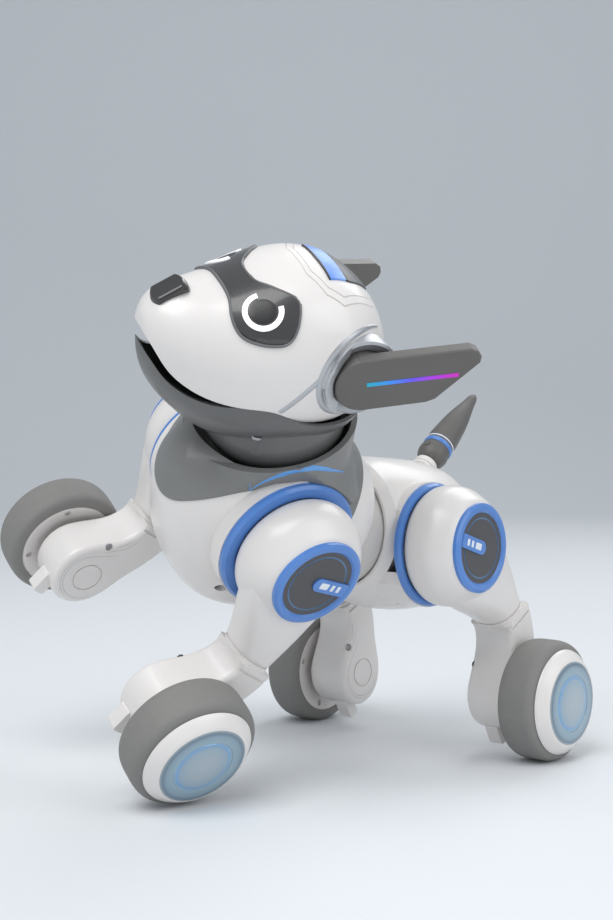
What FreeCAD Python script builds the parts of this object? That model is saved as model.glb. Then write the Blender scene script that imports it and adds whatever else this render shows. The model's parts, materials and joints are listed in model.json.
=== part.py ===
import FreeCAD, Part
import math
import os

V = FreeCAD.Vector

# ---------------------------------------------------------------- posture
WAIST_Y = 10.95
WAIST_Z = 119.1
WAIST_PITCH = 21.8
WAIST_TWIST = 35.6
HIP_Y = 36.4
HIP_Z = 110.2
HIP_X = 40.5
REAR_SWING = -28.8
SHOULDER_S = 65.3
SHOULDER_H = -8.3
FRONT_SWING_LEFT = 4.9
FRONT_SWING_RIGHT = 5.3
NECK_S = 84.0
NECK_H = 24.4
NECK_LEAN = 33.4
HEAD_YAW = -6.0
EAR_UP_LEFT = 12.1
EAR_UP_RIGHT = -6.0
EAR_SPLAY = 11.0

# ---------------------------------------------------------------- common sizes
WALL = 2.2
SKIN = 0.8
RUN_GAP = 0.05
OPEN_GAP = 0.4
SECTION_POINTS = 20
OVER = 60.0

# ---------------------------------------------------------------- leg sizes
LEG_LENGTH = 90.9
DOME_BASE = 1.4
DOME_R = 29.5
DISC_SEAT = 24.6
DISC_FACE = 27.2
DISC_RING_OUTER = 22.0
DISC_RING_INNER = 17.4
DISC_LINE_R = 14.6
DISC_LINE_DEPTH = 0.4
TAB_START = -2.6
TAB_HEIGHT = 6.8
TAB_TURN_FRONT = 14.0
TAB_TURN_REAR = 134.0
SHAFT_R = 6.0
SHAFT_REACH = 18.0
KNEE_UP = -51.0
KNEE_SEAM = 2.6
POD_IN = 0.4
POD_OUT = 24.4
AXLE_R = 3.0
AXLE_END = 43.0
BOSS_R = 7.6
BOSS_GROOVE = 0.6
RECESS_Y = -3.0
RECESS_Z = -71.6

# ---------------------------------------------------------------- wheel sizes
TYRE_R = 30.5
TYRE_IN = 26.2
TYRE_OUT = 46.6
TYRE_BORE = 24.4
CAP_R = 26.4
CAP_BASE = 46.6
CAP_LIP = 48.0
CAP_TOP = 52.4
LENS_R = 20.8
LENS_TOP = 54.2
DISH_R = 23.2
HUB_VENTS = 4
VENT_AT = 20.6
VENT_R = 1.7
VENT_DEEP = 3.2

# ---------------------------------------------------------------- waist sizes
RIM_R = 36.0
RIM_LIP_R = 31.9
RIM_BORE = 30.6
RIM_FRONT = 4.0
RIM_BACK = 8.0
DRUM_R = 29.9
DRUM_WALL = 2.4
FRONT_START = 15.6
SPINDLE_R = 5.0
SPINDLE_BACK = 30.0

# ---------------------------------------------------------------- screws and belly fittings
SCREW_HEAD_R = 2.5
SCREW_HEAD = 1.6
SCREW_R = 1.3
SCREW_LENGTH = 7.0
SCREW_CROSS = 0.8
SCREW_SLOT_LONG = 1.5
SCREW_SLOT_WIDE = 0.35
SCREW_BOSS_R = 4.0
CHIN_X = 29.0
CHIN_Y = -20.5
CHIN_SEAT = 18.0
REAR_SCREW_X = 24.0
REAR_SCREW_ROWS = ((18.0, -36.0), (62.0, -32.0))
FRONT_SCREW_SEAT = 24.6
FRONT_SCREW_S = 70.0
FRONT_SCREW_H = -45.0
SWITCH_AT = 69.0
SWITCH_WIDE = 5.0
SWITCH_HALF = 6.5
SWITCH_TRAVEL = 4.0
SWITCH_FLOOR = -36.0
SWITCH_FACE = -43.0
PACK_FLOOR = -31.0
BOARD_TOP = 7.6

# ---------------------------------------------------------------- trim rings
RING_SINK = 3.0
RING_RISE = 0.5
HIP_RING_R = 30.8
SHOULDER_RING_R = 33.8
RING_INNER = 26.5
PAD_WALL = 2.4
SHAFT_HOLE = 8.0

REAR_SECTIONS = (
    (0.0, 36.0, 36.0, -36.0, 2.0),
    (14.0, 37.8, 34.9, -41.0, 2.2),
    (32.0, 39.0, 33.8, -45.4, 2.3),
    (50.0, 38.6, 32.2, -46.0, 2.3),
    (68.0, 34.8, 28.0, -42.0, 2.2),
    (82.0, 26.0, 18.0, -32.5, 2.1),
    (89.0, 15.5, 6.8, -21.5, 2.0),
    (91.5, 6.0, -2.5, -12.5, 2.0),
)
FRONT_SECTIONS = (
    (15.6, 33.0, 30.0, -37.0, 2.1),
    (24.0, 36.8, 36.0, -47.0, 2.2),
    (42.0, 38.6, 41.0, -58.0, 2.3),
    (62.0, 39.0, 42.0, -61.0, 2.3),
    (82.0, 37.0, 39.0, -54.0, 2.3),
    (98.0, 31.5, 30.0, -42.0, 2.2),
    (109.0, 22.5, 17.0, -28.5, 2.1),
    (115.0, 13.0, 5.0, -17.5, 2.0),
    (117.0, 5.0, -3.0, -9.5, 2.0),
)
HEAD_SECTIONS = (
    (-71.0, 4.5, 62.5, 53.5, 2.0),
    (-69.0, 11.5, 67.5, 45.0, 2.0),
    (-63.5, 19.0, 72.6, 35.0, 2.1),
    (-54.0, 25.5, 75.6, 25.0, 2.2),
    (-41.0, 32.0, 77.5, 18.0, 2.3),
    (-26.0, 37.5, 82.5, 14.0, 2.3),
    (-9.0, 40.5, 87.8, 12.5, 2.3),
    (7.0, 40.5, 88.0, 13.5, 2.3),
    (21.0, 37.0, 82.5, 17.0, 2.2),
    (31.5, 29.5, 74.0, 25.0, 2.1),
    (37.8, 18.0, 63.5, 34.0, 2.0),
    (40.0, 6.5, 54.0, 43.0, 2.0),
)
JAW_SECTIONS = (
    (-70.0, 4.5, 60.0, 46.5, 2.0),
    (-67.6, 11.0, 60.0, 37.5, 2.0),
    (-61.0, 18.0, 60.0, 27.0, 2.1),
    (-52.0, 24.0, 60.0, 18.5, 2.2),
    (-40.0, 29.5, 60.0, 10.5, 2.2),
    (-26.0, 34.0, 60.0, 7.0, 2.2),
    (-10.0, 37.0, 60.0, 6.0, 2.2),
    (8.0, 36.5, 58.0, 6.0, 2.2),
    (22.0, 32.5, 56.0, 9.0, 2.2),
    (31.0, 25.0, 52.0, 15.0, 2.1),
    (35.5, 14.0, 48.0, 23.0, 2.0),
    (37.0, 6.0, 44.0, 28.0, 2.0),
)
MOUTH_LINE = (
    (-80.0, 68.0),
    (-73.0, 60.0),
    (-68.5, 54.0),
    (-63.5, 47.0),
    (-56.0, 41.0),
    (-46.0, 37.0),
    (-32.0, 35.5),
    (-19.0, 34.6),
    (-8.0, 29.5),
    (4.0, 25.6),
    (20.0, 25.0),
    (60.0, 25.0),
)
JAW_LINE = (
    (-80.0, 53.0),
    (-73.0, 51.4),
    (-68.5, 47.6),
    (-63.5, 41.6),
    (-56.0, 36.6),
    (-46.0, 34.0),
    (-34.0, 34.4),
    (-28.0, 35.2),
    (-19.0, 34.6),
    (-8.0, 29.5),
    (4.0, 25.6),
    (20.0, 25.0),
    (60.0, 25.0),
)
VISOR_HALF = (
    (0.0, -38.5),
    (12.0, -38.6),
    (21.0, -40.0),
    (26.0, -38.8),
    (29.5, -34.5),
    (33.2, -27.0),
    (35.6, -18.6),
    (33.0, -14.2),
    (26.5, -11.8),
    (22.6, -13.2),
    (17.0, -18.6),
    (8.5, -25.6),
    (0.0, -27.0),
)
WINDOW_HALF = (
    (0.0, 4.2),
    (15.6, 4.6),
    (12.6, 17.0),
    (6.5, 28.8),
    (0.0, 28.8),
)
GROOVE_HALF = (
    (0.0, -2.0),
    (10.0, -2.2),
    (20.0, 2.4),
    (23.5, 9.0),
    (16.5, 24.0),
    (10.0, 33.0),
)
GROOVE_STEP = 3.4
GROOVE_WIDE = 0.55
GROOVE_DEEP = 0.5
EYE_AT = (23.4, -27.2, 76.4)
EYE_DIR = (0.62, -0.35, 0.70)
EYE_R = 8.8
EYE_BAND = 2.3
EYE_GAP = (-0.62, 0.62, 0.48)
EYE_GAP_HALF = 14.5
NOSE_AT = (0.0, -61.5, 71.0)
NOSE_R = 8.6
NOSE_SINK = 2.4
NOSE_CORNER = 1.7
NOSE_OUTLINE = ((-7.2, 4.6), (7.2, 4.6), (0.0, -8.4), (-7.2, 4.6))
COLLAR_EDGE = (
    (0.0, -26.0),
    (8.0, -24.4),
    (15.0, -20.0),
    (24.0, -10.0),
    (31.5, 6.0),
    (37.0, 21.0),
    (41.0, 29.0),
    (50.0, 36.0),
)
COLLAR_BACK = 40.0
POD_OUTLINE = (
    (-5.8, -56.5),
    (-1.0, -66.0),
    (9.0, -74.5),
    (16.0, -82.0),
    (18.2, -91.5),
    (15.0, -101.0),
    (7.5, -107.3),
    (-2.5, -108.0),
    (-11.2, -102.8),
    (-16.6, -93.5),
    (-19.6, -83.0),
    (-23.4, -73.0),
    (-26.6, -62.0),
    (-27.8, -52.0),
    (-26.8, -42.0),
    (-22.0, -34.5),
    (-15.0, -32.0),
    (-8.0, -34.5),
    (-3.8, -42.0),
    (-4.0, -49.5),
)
CORE_OUTLINE = (
    (-8.2, -53.4),
    (-9.2, -58.5),
    (-3.6, -68.0),
    (6.0, -77.0),
    (0.0, -92.0),
    (-14.0, -92.0),
    (-17.2, -80.0),
    (-21.0, -70.0),
    (-24.0, -60.0),
    (-25.2, -53.4),
)
POD_ROUND = 3.0
POD_ROOM_R = 14.8
KNEE_FRONT = 26.6
KNEE_BACK = 5.8
THIGH_SECTIONS = (
    (-2.0, 0.0, 27.5, 13.0, 11.2),
    (-14.0, -2.5, 26.2, 13.2, 11.7),
    (-26.0, -6.3, 22.3, 13.1, 11.8),
    (-37.0, -10.8, 17.4, 12.8, 11.6),
    (-46.0, -14.0, 13.6, 12.5, 11.3),
    (-51.0, -15.4, 12.2, 12.4, 11.1),
)


# ---------------------------------------------------------------- helpers
def closed_spline(points):
    curve = Part.BSplineCurve()
    curve.interpolate(Points=points, PeriodicFlag=True)
    return Part.Wire([curve.toShape()])


def oval(y, cx, cz, half_x, half_z, power):
    points = []
    for i in range(SECTION_POINTS):
        angle = 2.0 * math.pi * i / SECTION_POINTS
        c = math.cos(angle)
        s = math.sin(angle)
        px = math.copysign(abs(c) ** (2.0 / power), c)
        pz = math.copysign(abs(s) ** (2.0 / power), s)
        points.append(V(cx + half_x * px, y, cz + half_z * pz))
    return closed_spline(points)


def body_loft(sections, sign, grow):
    """Loft of ovals along y; each row is place, half width, top, bottom, squareness."""
    wires = []
    last = len(sections) - 1
    for i, (place, half, top, bottom, power) in enumerate(sections):
        shift = 0.0
        if i == last:
            shift = grow
        if i == 0:
            shift = -grow
        centre = 0.5 * (top + bottom)
        tall = 0.5 * (top - bottom)
        wires.append(oval(sign * (place + shift), 0.0, centre, half + grow, tall + grow, power))
    return Part.makeLoft(wires, True, False)


def cylinder_x(radius, x0, x1, y=0.0, z=0.0):
    return Part.makeCylinder(radius, x1 - x0, V(x0, y, z), V(1, 0, 0))


def box(x0, x1, y0, y1, z0, z1):
    return Part.makeBox(x1 - x0, y1 - y0, z1 - z0, V(x0, y0, z0))


def turned(profile, centre, axis, across):
    """Solid of revolution; profile rows are distance along the axis and radius."""
    points = []
    for along, radius in profile:
        points.append(centre + axis * along + across * radius)
    points.append(points[0])
    face = Part.Face(Part.makePolygon(points))
    return face.revolve(centre, axis, 360.0)


def smooth_turned(profile, centre, axis, across):
    """Like turned, with a smooth outer curve through the profile and a straight core."""
    curve = Part.BSplineCurve()
    points = [centre + axis * a + across * r for a, r in profile]
    curve.interpolate(points)
    first = centre + axis * profile[0][0]
    last = centre + axis * profile[-1][0]
    edges = [curve.toShape()]
    if profile[-1][1] > 1e-6:
        edges.append(Part.makeLine(points[-1], last))
    edges.append(Part.makeLine(last, first))
    if profile[0][1] > 1e-6:
        edges.append(Part.makeLine(first, points[0]))
    face = Part.Face(Part.Wire(edges))
    return face.revolve(centre, axis, 360.0)


def prism_x(outline, x0, x1):
    """Extrude a closed (y, z) outline along x."""
    points = [V(x0, y, z) for y, z in outline]
    points.append(points[0])
    face = Part.Face(Part.makePolygon(points))
    return face.extrude(V(x1 - x0, 0, 0))


def profile_prism(line, low, x0, x1):
    """Everything below a smooth side-view line, as a prism along x."""
    points = [V(x0, y, z) for y, z in line]
    curve = Part.BSplineCurve()
    curve.interpolate(points)
    end = V(x0, line[-1][0], low)
    start = V(x0, line[0][0], low)
    edges = [curve.toShape(), Part.makeLine(points[-1], end), Part.makeLine(end, start)]
    edges.append(Part.makeLine(start, points[0]))
    face = Part.Face(Part.Wire(edges))
    return face.extrude(V(x1 - x0, 0, 0))


def moved(shape, steps):
    out = shape.copy()
    for kind, a, b in steps:
        if kind == "turn":
            out.rotate(V(0, 0, 0), a, b)
        else:
            out.translate(a)
    return out


def mirror(shape):
    return shape.mirror(V(0, 0, 0), V(1, 0, 0))


def keep_solids(shape):
    solids = [s for s in shape.Solids if s.Volume > 0.5]
    if len(solids) == 1:
        return solids[0]
    return Part.makeCompound(solids)


X = V(1, 0, 0)
Y = V(0, 1, 0)
Z = V(0, 0, 1)
WAIST = V(0, WAIST_Y, WAIST_Z)
FRONT_STEPS = [("turn", Y, WAIST_TWIST), ("turn", X, -WAIST_PITCH), ("move", WAIST, 0)]
HEAD_STEPS = [("turn", Z, HEAD_YAW), ("turn", X, NECK_LEAN), ("move", V(0, -NECK_S, NECK_H), 0)]
nodes = {}


# ---------------------------------------------------------------- screws
def pan_screw(seat, out, across):
    """A cross-head screw; seat is where the head rests and out points away from the part."""
    head = turned([(0.0, 0.0), (0.0, SCREW_HEAD_R), (SCREW_HEAD - 0.4, SCREW_HEAD_R),
                   (SCREW_HEAD, SCREW_HEAD_R - 0.7), (SCREW_HEAD, 0.0)], seat, out, across)
    stem = Part.makeCylinder(SCREW_R, SCREW_LENGTH + 0.1, seat - out * SCREW_LENGTH, out)
    other = out.cross(across)
    screw = head.fuse(stem)
    for a, b in ((across, other), (other, across)):
        low = seat + out * (SCREW_HEAD - SCREW_CROSS) - a * SCREW_SLOT_LONG - b * SCREW_SLOT_WIDE
        points = [low, low + a * SCREW_SLOT_LONG * 2, low + a * SCREW_SLOT_LONG * 2 + b * SCREW_SLOT_WIDE * 2,
                  low + b * SCREW_SLOT_WIDE * 2, low]
        screw = screw.cut(Part.Face(Part.makePolygon(points)).extrude(out * 3.0))
    return screw


def seated(host, limit, seat, out):
    """Give a shell an inner boss, the sunk seat for the head and the hole for the stem."""
    boss = Part.makeCylinder(SCREW_BOSS_R, SCREW_LENGTH + 2.0, seat - out * (SCREW_LENGTH - 1.0), out)
    host = host.fuse(boss.common(limit))
    host = host.cut(Part.makeCylinder(SCREW_HEAD_R + 0.1, 20.0, seat, out))
    return host.cut(Part.makeCylinder(SCREW_R, SCREW_LENGTH + 2.0, seat - out * SCREW_LENGTH, out))


# ---------------------------------------------------------------- leg
def pod_solid():
    """The shank plate: its smooth outline made as thick as the limb, with both rims rounded."""
    wire = closed_spline([V(POD_IN, -fwd, up) for fwd, up in POD_OUTLINE])
    plate = Part.Face(wire).extrude(V(POD_OUT - POD_IN, 0, 0))
    rims = [e for e in plate.Edges if abs(e.BoundBox.XLength) < 0.01]
    return plate.makeFillet(POD_ROUND, rims)


def pod_core():
    """Room for the wheel motor and its wires inside the shank."""
    low = POD_IN + WALL
    high = POD_OUT - WALL
    room = cylinder_x(POD_ROOM_R, low, high, 0.0, -LEG_LENGTH)
    channel = prism_x([(-f, u) for f, u in CORE_OUTLINE], low, high)
    return room.fuse(channel)


def limb_loft(grow):
    wires = []
    for up, fwd, half_f, mid, half_t in THIGH_SECTIONS:
        points = []
        for i in range(SECTION_POINTS):
            angle = 2.0 * math.pi * i / SECTION_POINTS
            c = math.cos(angle)
            s = math.sin(angle)
            px = math.copysign(abs(c) ** (2.0 / 2.5), c)
            py = math.copysign(abs(s) ** (2.0 / 2.5), s)
            points.append(V(mid + (half_t + grow) * px, -fwd + (half_f + grow) * py, up))
        wires.append(closed_spline(points))
    return Part.makeLoft(wires, True, False)


def dome_profile(grow):
    return [
        (DOME_BASE - min(grow, 0.0), DOME_R - 1.6 + grow),
        (4.5, DOME_R + 0.2 + grow),
        (10.0, DOME_R + 0.6 + grow),
        (16.0, DOME_R - 0.6 + grow),
        (21.0, DOME_R - 3.4 + grow),
        (24.4, DOME_R - 6.0 + grow),
        (25.8 + min(grow, 0.0), DOME_R - 8.2 + grow),
    ]


def leg_parts():
    origin = V(0, 0, 0)
    dome = smooth_turned(dome_profile(0.0), origin, X, Z)
    dome_core = smooth_turned(dome_profile(-WALL), origin, X, Z)
    thigh = dome.fuse(limb_loft(0.0))
    thigh = thigh.cut(dome_core)
    thigh = thigh.cut(limb_loft(-WALL).cut(box(-OVER, OVER, -OVER, OVER, -OVER * 2, KNEE_UP + WALL)))
    seat = cylinder_x(DISC_RING_OUTER + 0.8, DISC_SEAT - WALL, DISC_SEAT)
    thigh = thigh.fuse(seat)
    thigh = thigh.cut(cylinder_x(DISC_RING_OUTER, DISC_SEAT, DISC_SEAT + 20.0))
    shaft = cylinder_x(SHAFT_R, -SHAFT_REACH, DISC_SEAT - WALL)
    thigh = thigh.fuse(shaft)
    groove = prism_x([(-OVER, KNEE_UP + 2.0), (OVER, KNEE_UP + 2.0), (OVER, KNEE_UP + 3.4),
                      (-OVER, KNEE_UP + 3.4)], -5.0, 40.0)
    groove = groove.cut(limb_loft(-0.9))
    thigh = keep_solids(thigh.cut(groove).removeSplitter())

    ring = turned([(DISC_SEAT, DISC_RING_INNER), (DISC_SEAT, DISC_RING_OUTER),
                   (DISC_FACE, DISC_RING_OUTER), (DISC_FACE + 0.9, DISC_RING_OUTER - 1.4),
                   (DISC_FACE + 0.9, DISC_RING_INNER + 1.0), (DISC_FACE, DISC_RING_INNER)],
                  origin, X, Z)
    face = cylinder_x(DISC_RING_INNER, DISC_SEAT, DISC_FACE)
    line = cylinder_x(DISC_LINE_R + 0.35, DISC_FACE - DISC_LINE_DEPTH, DISC_FACE + 1.0)
    line = line.cut(cylinder_x(DISC_LINE_R - 0.35, DISC_FACE - DISC_LINE_DEPTH, DISC_FACE + 1.0))
    face = face.cut(line)
    tab_round = TAB_HEIGHT / 2
    tab = box(DISC_FACE, DISC_FACE + 0.9, TAB_START + tab_round, DISC_RING_OUTER, -tab_round, tab_round)
    tab = tab.fuse(cylinder_x(tab_round, DISC_FACE, DISC_FACE + 0.9, TAB_START + tab_round, 0.0))
    tab = tab.common(cylinder_x(DISC_RING_INNER + 0.4, DISC_FACE, DISC_FACE + 0.9))
    ring = ring.fuse(tab)

    pod = pod_solid()
    trim_top = box(-OVER, OVER, -OVER, OVER, KNEE_UP, OVER)
    shank = pod.cut(trim_top).cut(pod_core())
    axle = cylinder_x(AXLE_R, POD_IN + 1.0, AXLE_END, 0.0, -LEG_LENGTH)
    collar = cylinder_x(AXLE_R + 2.5, POD_IN + 1.0, TYRE_IN - 0.4, 0.0, -LEG_LENGTH)
    shank = shank.fuse([axle, collar])
    knee_groove = prism_x([(-OVER, KNEE_UP - KNEE_SEAM), (OVER, KNEE_UP - KNEE_SEAM),
                           (OVER, KNEE_UP - KNEE_SEAM - 1.4), (-OVER, KNEE_UP - KNEE_SEAM - 1.4)], -5.0, 40.0)
    inner_post = box(POD_IN + 0.9, POD_OUT - 0.9, KNEE_BACK, KNEE_FRONT, KNEE_UP - 9.0, KNEE_UP + 1.0)
    knee_groove = knee_groove.cut(inner_post)
    shank = shank.cut(knee_groove)
    boss = cylinder_x(BOSS_R + 0.4, POD_IN - 1.0, POD_IN + BOSS_GROOVE, 0.0, -LEG_LENGTH)
    boss = boss.cut(cylinder_x(BOSS_R - 0.4, POD_IN - 1.0, POD_IN + BOSS_GROOVE, 0.0, -LEG_LENGTH))
    shank = shank.cut(boss)
    recess = cylinder_x(1.9, POD_IN - 1.0, POD_IN + 1.6, RECESS_Y, RECESS_Z)
    shank = shank.cut(recess)
    toe = box(6.0, 13.5, -15.5, -9.0, -112.5, -101.0)
    toe = toe.makeFillet(1.4, [e for e in toe.Edges if e.BoundBox.XLength > 1.0])
    toe = toe.cut(pod_core())
    shank = keep_solids(shank.fuse(toe))

    hub_at = V(0, 0, -LEG_LENGTH)
    tyre = smooth_ring_tyre(hub_at)
    hub = turned([
        (TYRE_IN + 1.4, AXLE_R + RUN_GAP), (TYRE_IN + 1.4, 8.0), (TYRE_IN + 3.0, 11.0),
        (TYRE_IN + 1.0, DISH_R - 2.0), (TYRE_IN + 0.6, DISH_R + 0.2), (TYRE_IN + 0.9, TYRE_BORE),
        (CAP_BASE, TYRE_BORE), (CAP_BASE, CAP_R - 0.5), (CAP_BASE + 0.5, CAP_R), (CAP_LIP, CAP_R - 0.3),
        (CAP_LIP + 2.2, CAP_R - 2.4), (CAP_TOP - 0.4, LENS_R + 1.2), (CAP_TOP, LENS_R),
        (CAP_TOP - 1.4, LENS_R), (CAP_TOP - 1.4, AXLE_R + 4.0), (AXLE_END + 2.0, AXLE_R + 4.0),
        (AXLE_END + 2.0, 0.0), (AXLE_END + 0.5, 0.0), (AXLE_END + 0.5, AXLE_R + RUN_GAP)], hub_at, X, Z)
    hub_hollow = turned([(TYRE_IN + 4.6, AXLE_R + 4.0), (TYRE_IN + 4.6, TYRE_BORE - 2.4),
                         (CAP_BASE + 0.6, TYRE_BORE - 2.4), (CAP_TOP - 3.4, LENS_R - 0.6),
                         (CAP_TOP - 3.4, AXLE_R + 4.0)], hub_at, X, Z)
    hub = hub.cut(hub_hollow)
    for k in range(HUB_VENTS):
        spoke = math.radians(45.0 + 360.0 * k / HUB_VENTS)
        vent_y = VENT_AT * math.cos(spoke)
        vent_z = VENT_AT * math.sin(spoke) - LEG_LENGTH
        hub = hub.cut(cylinder_x(VENT_R, TYRE_IN - 1.0, TYRE_IN + VENT_DEEP, vent_y, vent_z))
    hub = keep_solids(hub)
    lens = turned([(CAP_TOP - 1.4, 0.0), (CAP_TOP - 1.4, LENS_R), (CAP_TOP + 0.1, LENS_R),
                   (CAP_TOP + 0.5, LENS_R - 1.2), (CAP_TOP + 0.7, 14.6), (CAP_TOP + 0.3, 14.2),
                   (CAP_TOP + 0.3, 13.6), (CAP_TOP + 0.8, 13.2), (LENS_TOP - 0.6, 8.0), (LENS_TOP - 0.4, 0.0)],
                  hub_at, X, Z)
    return {"thigh": thigh, "disc_ring": ring, "disc_face": face, "shank": shank,
            "tyre": tyre, "hub": hub, "lens": lens}


def smooth_ring_tyre(hub_at):
    mid = 0.5 * (TYRE_IN + TYRE_OUT)
    half = 0.5 * (TYRE_OUT - TYRE_IN)
    rows = []
    for i in range(-6, 7):
        t = i / 6.0
        bulge = TYRE_R - 5.4 * abs(t) ** 3.4
        rows.append((mid + half * math.sin(t * math.pi / 2.0), bulge))
    curve = Part.BSplineCurve()
    points = [hub_at + X * a + Z * r for a, r in rows]
    curve.interpolate(points)
    low_a = hub_at + X * rows[0][0] + Z * TYRE_BORE
    low_b = hub_at + X * rows[-1][0] + Z * TYRE_BORE
    edges = [curve.toShape(), Part.makeLine(points[-1], low_b), Part.makeLine(low_b, low_a)]
    edges.append(Part.makeLine(low_a, points[0]))
    face = Part.Face(Part.Wire(edges))
    return face.revolve(hub_at, X, 360.0)


LEG = leg_parts()


def place_leg(tag, left, swing, centre, front):
    tab_turn = TAB_TURN_FRONT if front else TAB_TURN_REAR
    for name, shape in LEG.items():
        own_turn = tab_turn if name == "disc_ring" else 0.0
        out = moved(shape, [("turn", X, own_turn - swing), ("move", centre, 0)])
        if not left:
            out = mirror(out)
        if front:
            out = moved(out, FRONT_STEPS)
        nodes[name + "_" + tag] = out


SHOULDER = V(HIP_X, -SHOULDER_S, SHOULDER_H)
HIP = V(HIP_X, HIP_Y, HIP_Z)
place_leg("fl", True, FRONT_SWING_LEFT, SHOULDER, True)
place_leg("fr", False, FRONT_SWING_RIGHT, SHOULDER, True)
place_leg("rl", True, REAR_SWING, HIP, False)
place_leg("rr", False, REAR_SWING, HIP, False)


# ---------------------------------------------------------------- torso pieces shared by both ends
def both(shape):
    return Part.makeCompound([shape, mirror(shape)])


def side_pad(centre_y, centre_z, ring_r):
    face_x = HIP_X - RING_SINK
    pad = cylinder_x(ring_r + 0.6, 16.0, face_x, centre_y, centre_z)
    hollow = cylinder_x(ring_r - 2.6, 0.0, face_x - PAD_WALL, centre_y, centre_z)
    hole = cylinder_x(SHAFT_HOLE, 0.0, face_x + 10.0, centre_y, centre_z)
    return pad, hollow, hole


def trim_ring(centre_y, centre_z, ring_r):
    base = HIP_X - RING_SINK
    top = HIP_X + RING_RISE
    return turned([(base, RING_INNER), (base, ring_r), (top - 1.4, ring_r), (top, ring_r - 1.2),
                   (top, RING_INNER + 1.4), (top - 1.0, RING_INNER)], V(0, centre_y, centre_z), X, Z)


def gearbox(centre_y, centre_z, tall, length):
    outer = box(14.0, HIP_X - RING_SINK - PAD_WALL, centre_y - length / 2, centre_y + length / 2,
                centre_z - tall / 2, centre_z + tall / 2)
    bore = cylinder_x(SHAFT_R + RUN_GAP, 18.0, 60.0, centre_y, centre_z)
    pocket = cylinder_x(SHAFT_R + 1.0, 18.0, HIP_X - SHAFT_REACH - 1.0 + 0.5, centre_y, centre_z)
    return outer.cut(bore).cut(pocket)


def torso(sections, sign, centre_y, centre_z, ring_r):
    outer = body_loft(sections, sign, 0.0)
    inner = body_loft(sections, sign, -WALL)
    pad, hollow, hole = side_pad(centre_y, centre_z, ring_r)
    solid = outer.fuse([pad, mirror(pad)])
    flat = box(HIP_X - RING_SINK, OVER * 2, -OVER * 4, OVER * 4, -OVER * 4, OVER * 4)
    near = flat.common(cylinder_x(ring_r + 0.6, 0.0, OVER * 2, centre_y, centre_z))
    shell = solid.cut([near, mirror(near)])
    shell = shell.cut(inner)
    shell = shell.cut([hollow, mirror(hollow), hole, mirror(hole)])
    return shell, outer


# ---------------------------------------------------------------- rear torso (built about the waist point)
REL_HIP_Y = HIP_Y - WAIST_Y
REL_HIP_Z = HIP_Z - WAIST_Z
rear_shell, rear_outer = torso(REAR_SECTIONS, 1.0, REL_HIP_Y, REL_HIP_Z, HIP_RING_R)
mouth_hole = Part.makeCylinder(RIM_R - 2.6 + RUN_GAP, 12.0, V(0, -2.0, 0), Y)
ahead_of_waist = box(-OVER, OVER, -OVER, 0.0, -OVER, OVER)
rear_shell = rear_shell.cut([mouth_hole, ahead_of_waist])

TAIL_AT = V(0, 78.9, 34.2)
TAIL_UP = 39.0
tail_dir = V(0, math.cos(math.radians(TAIL_UP)), math.sin(math.radians(TAIL_UP)))
tail_side = V(0, -tail_dir.z, tail_dir.y)
TAIL_BALL = 8.5
WAG_PIN_R = 1.8
WAG_PIN_HALF = 8.9
stub = turned([(-24.0, 0.0), (-24.0, 6.0), (-15.5, 6.0), (-15.2, 6.9), (-14.2, 6.9), (-13.9, 6.0),
               (-13.2, 6.0), (-12.9, 6.9), (-11.9, 6.9), (-11.6, 6.0), (-10.9, 6.0), (-10.6, 6.7),
               (-9.6, 6.7), (-7.5, 6.2), (-7.5, 0.0)], TAIL_AT, tail_dir, tail_side)
stub = stub.cut(Part.makeSphere(TAIL_BALL + 0.35, TAIL_AT))
stub = stub.cut(body_loft(REAR_SECTIONS, 1.0, -WALL))
rear_shell = rear_shell.fuse(stub)

PART_LINE_REAR = -9.0
BELLY_Y0 = 12.0
BELLY_Y1 = 50.0
BELLY_HALF = 17.0
GRIP_X = 0.0
GRIP_Y = 17.0
GRIP_TOP = -41.6
upper_half = box(-OVER, OVER, -OVER, OVER * 3, PART_LINE_REAR, OVER * 2)
rear_upper = rear_shell.common(upper_half)
rear_lower = rear_shell.cut(upper_half)
cover_zone = box(-BELLY_HALF, BELLY_HALF, BELLY_Y0, BELLY_Y1, -OVER, -30.0)
belly_cover = rear_lower.common(cover_zone)
rear_lower = rear_lower.cut(cover_zone)
grip_points = []
for k in range(7):
    turn = math.radians(60 * k)
    grip_points.append(V(GRIP_X + 7.0 * math.cos(turn), GRIP_Y + 5.0 * math.sin(turn), -OVER))
grip = Part.Face(Part.makePolygon(grip_points)).extrude(V(0, 0, OVER + GRIP_TOP))
belly_cover = belly_cover.cut(grip)
JACK_Y = 60.0
JACK_R = 1.75
JACK_LENGTH = 9.0
JACK_BODY = 4.5
jack_low = -46.2
jack_hole = Part.makeCylinder(JACK_BODY, 20.0, V(0, JACK_Y, jack_low - 3.0), Z)
rear_lower = rear_lower.cut(jack_hole)
jack = Part.makeCylinder(JACK_BODY, JACK_LENGTH + 3.0, V(0, JACK_Y, -44.6), Z)
jack = jack.cut(Part.makeCylinder(JACK_R, JACK_LENGTH, V(0, JACK_Y, -44.6), Z))


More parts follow.
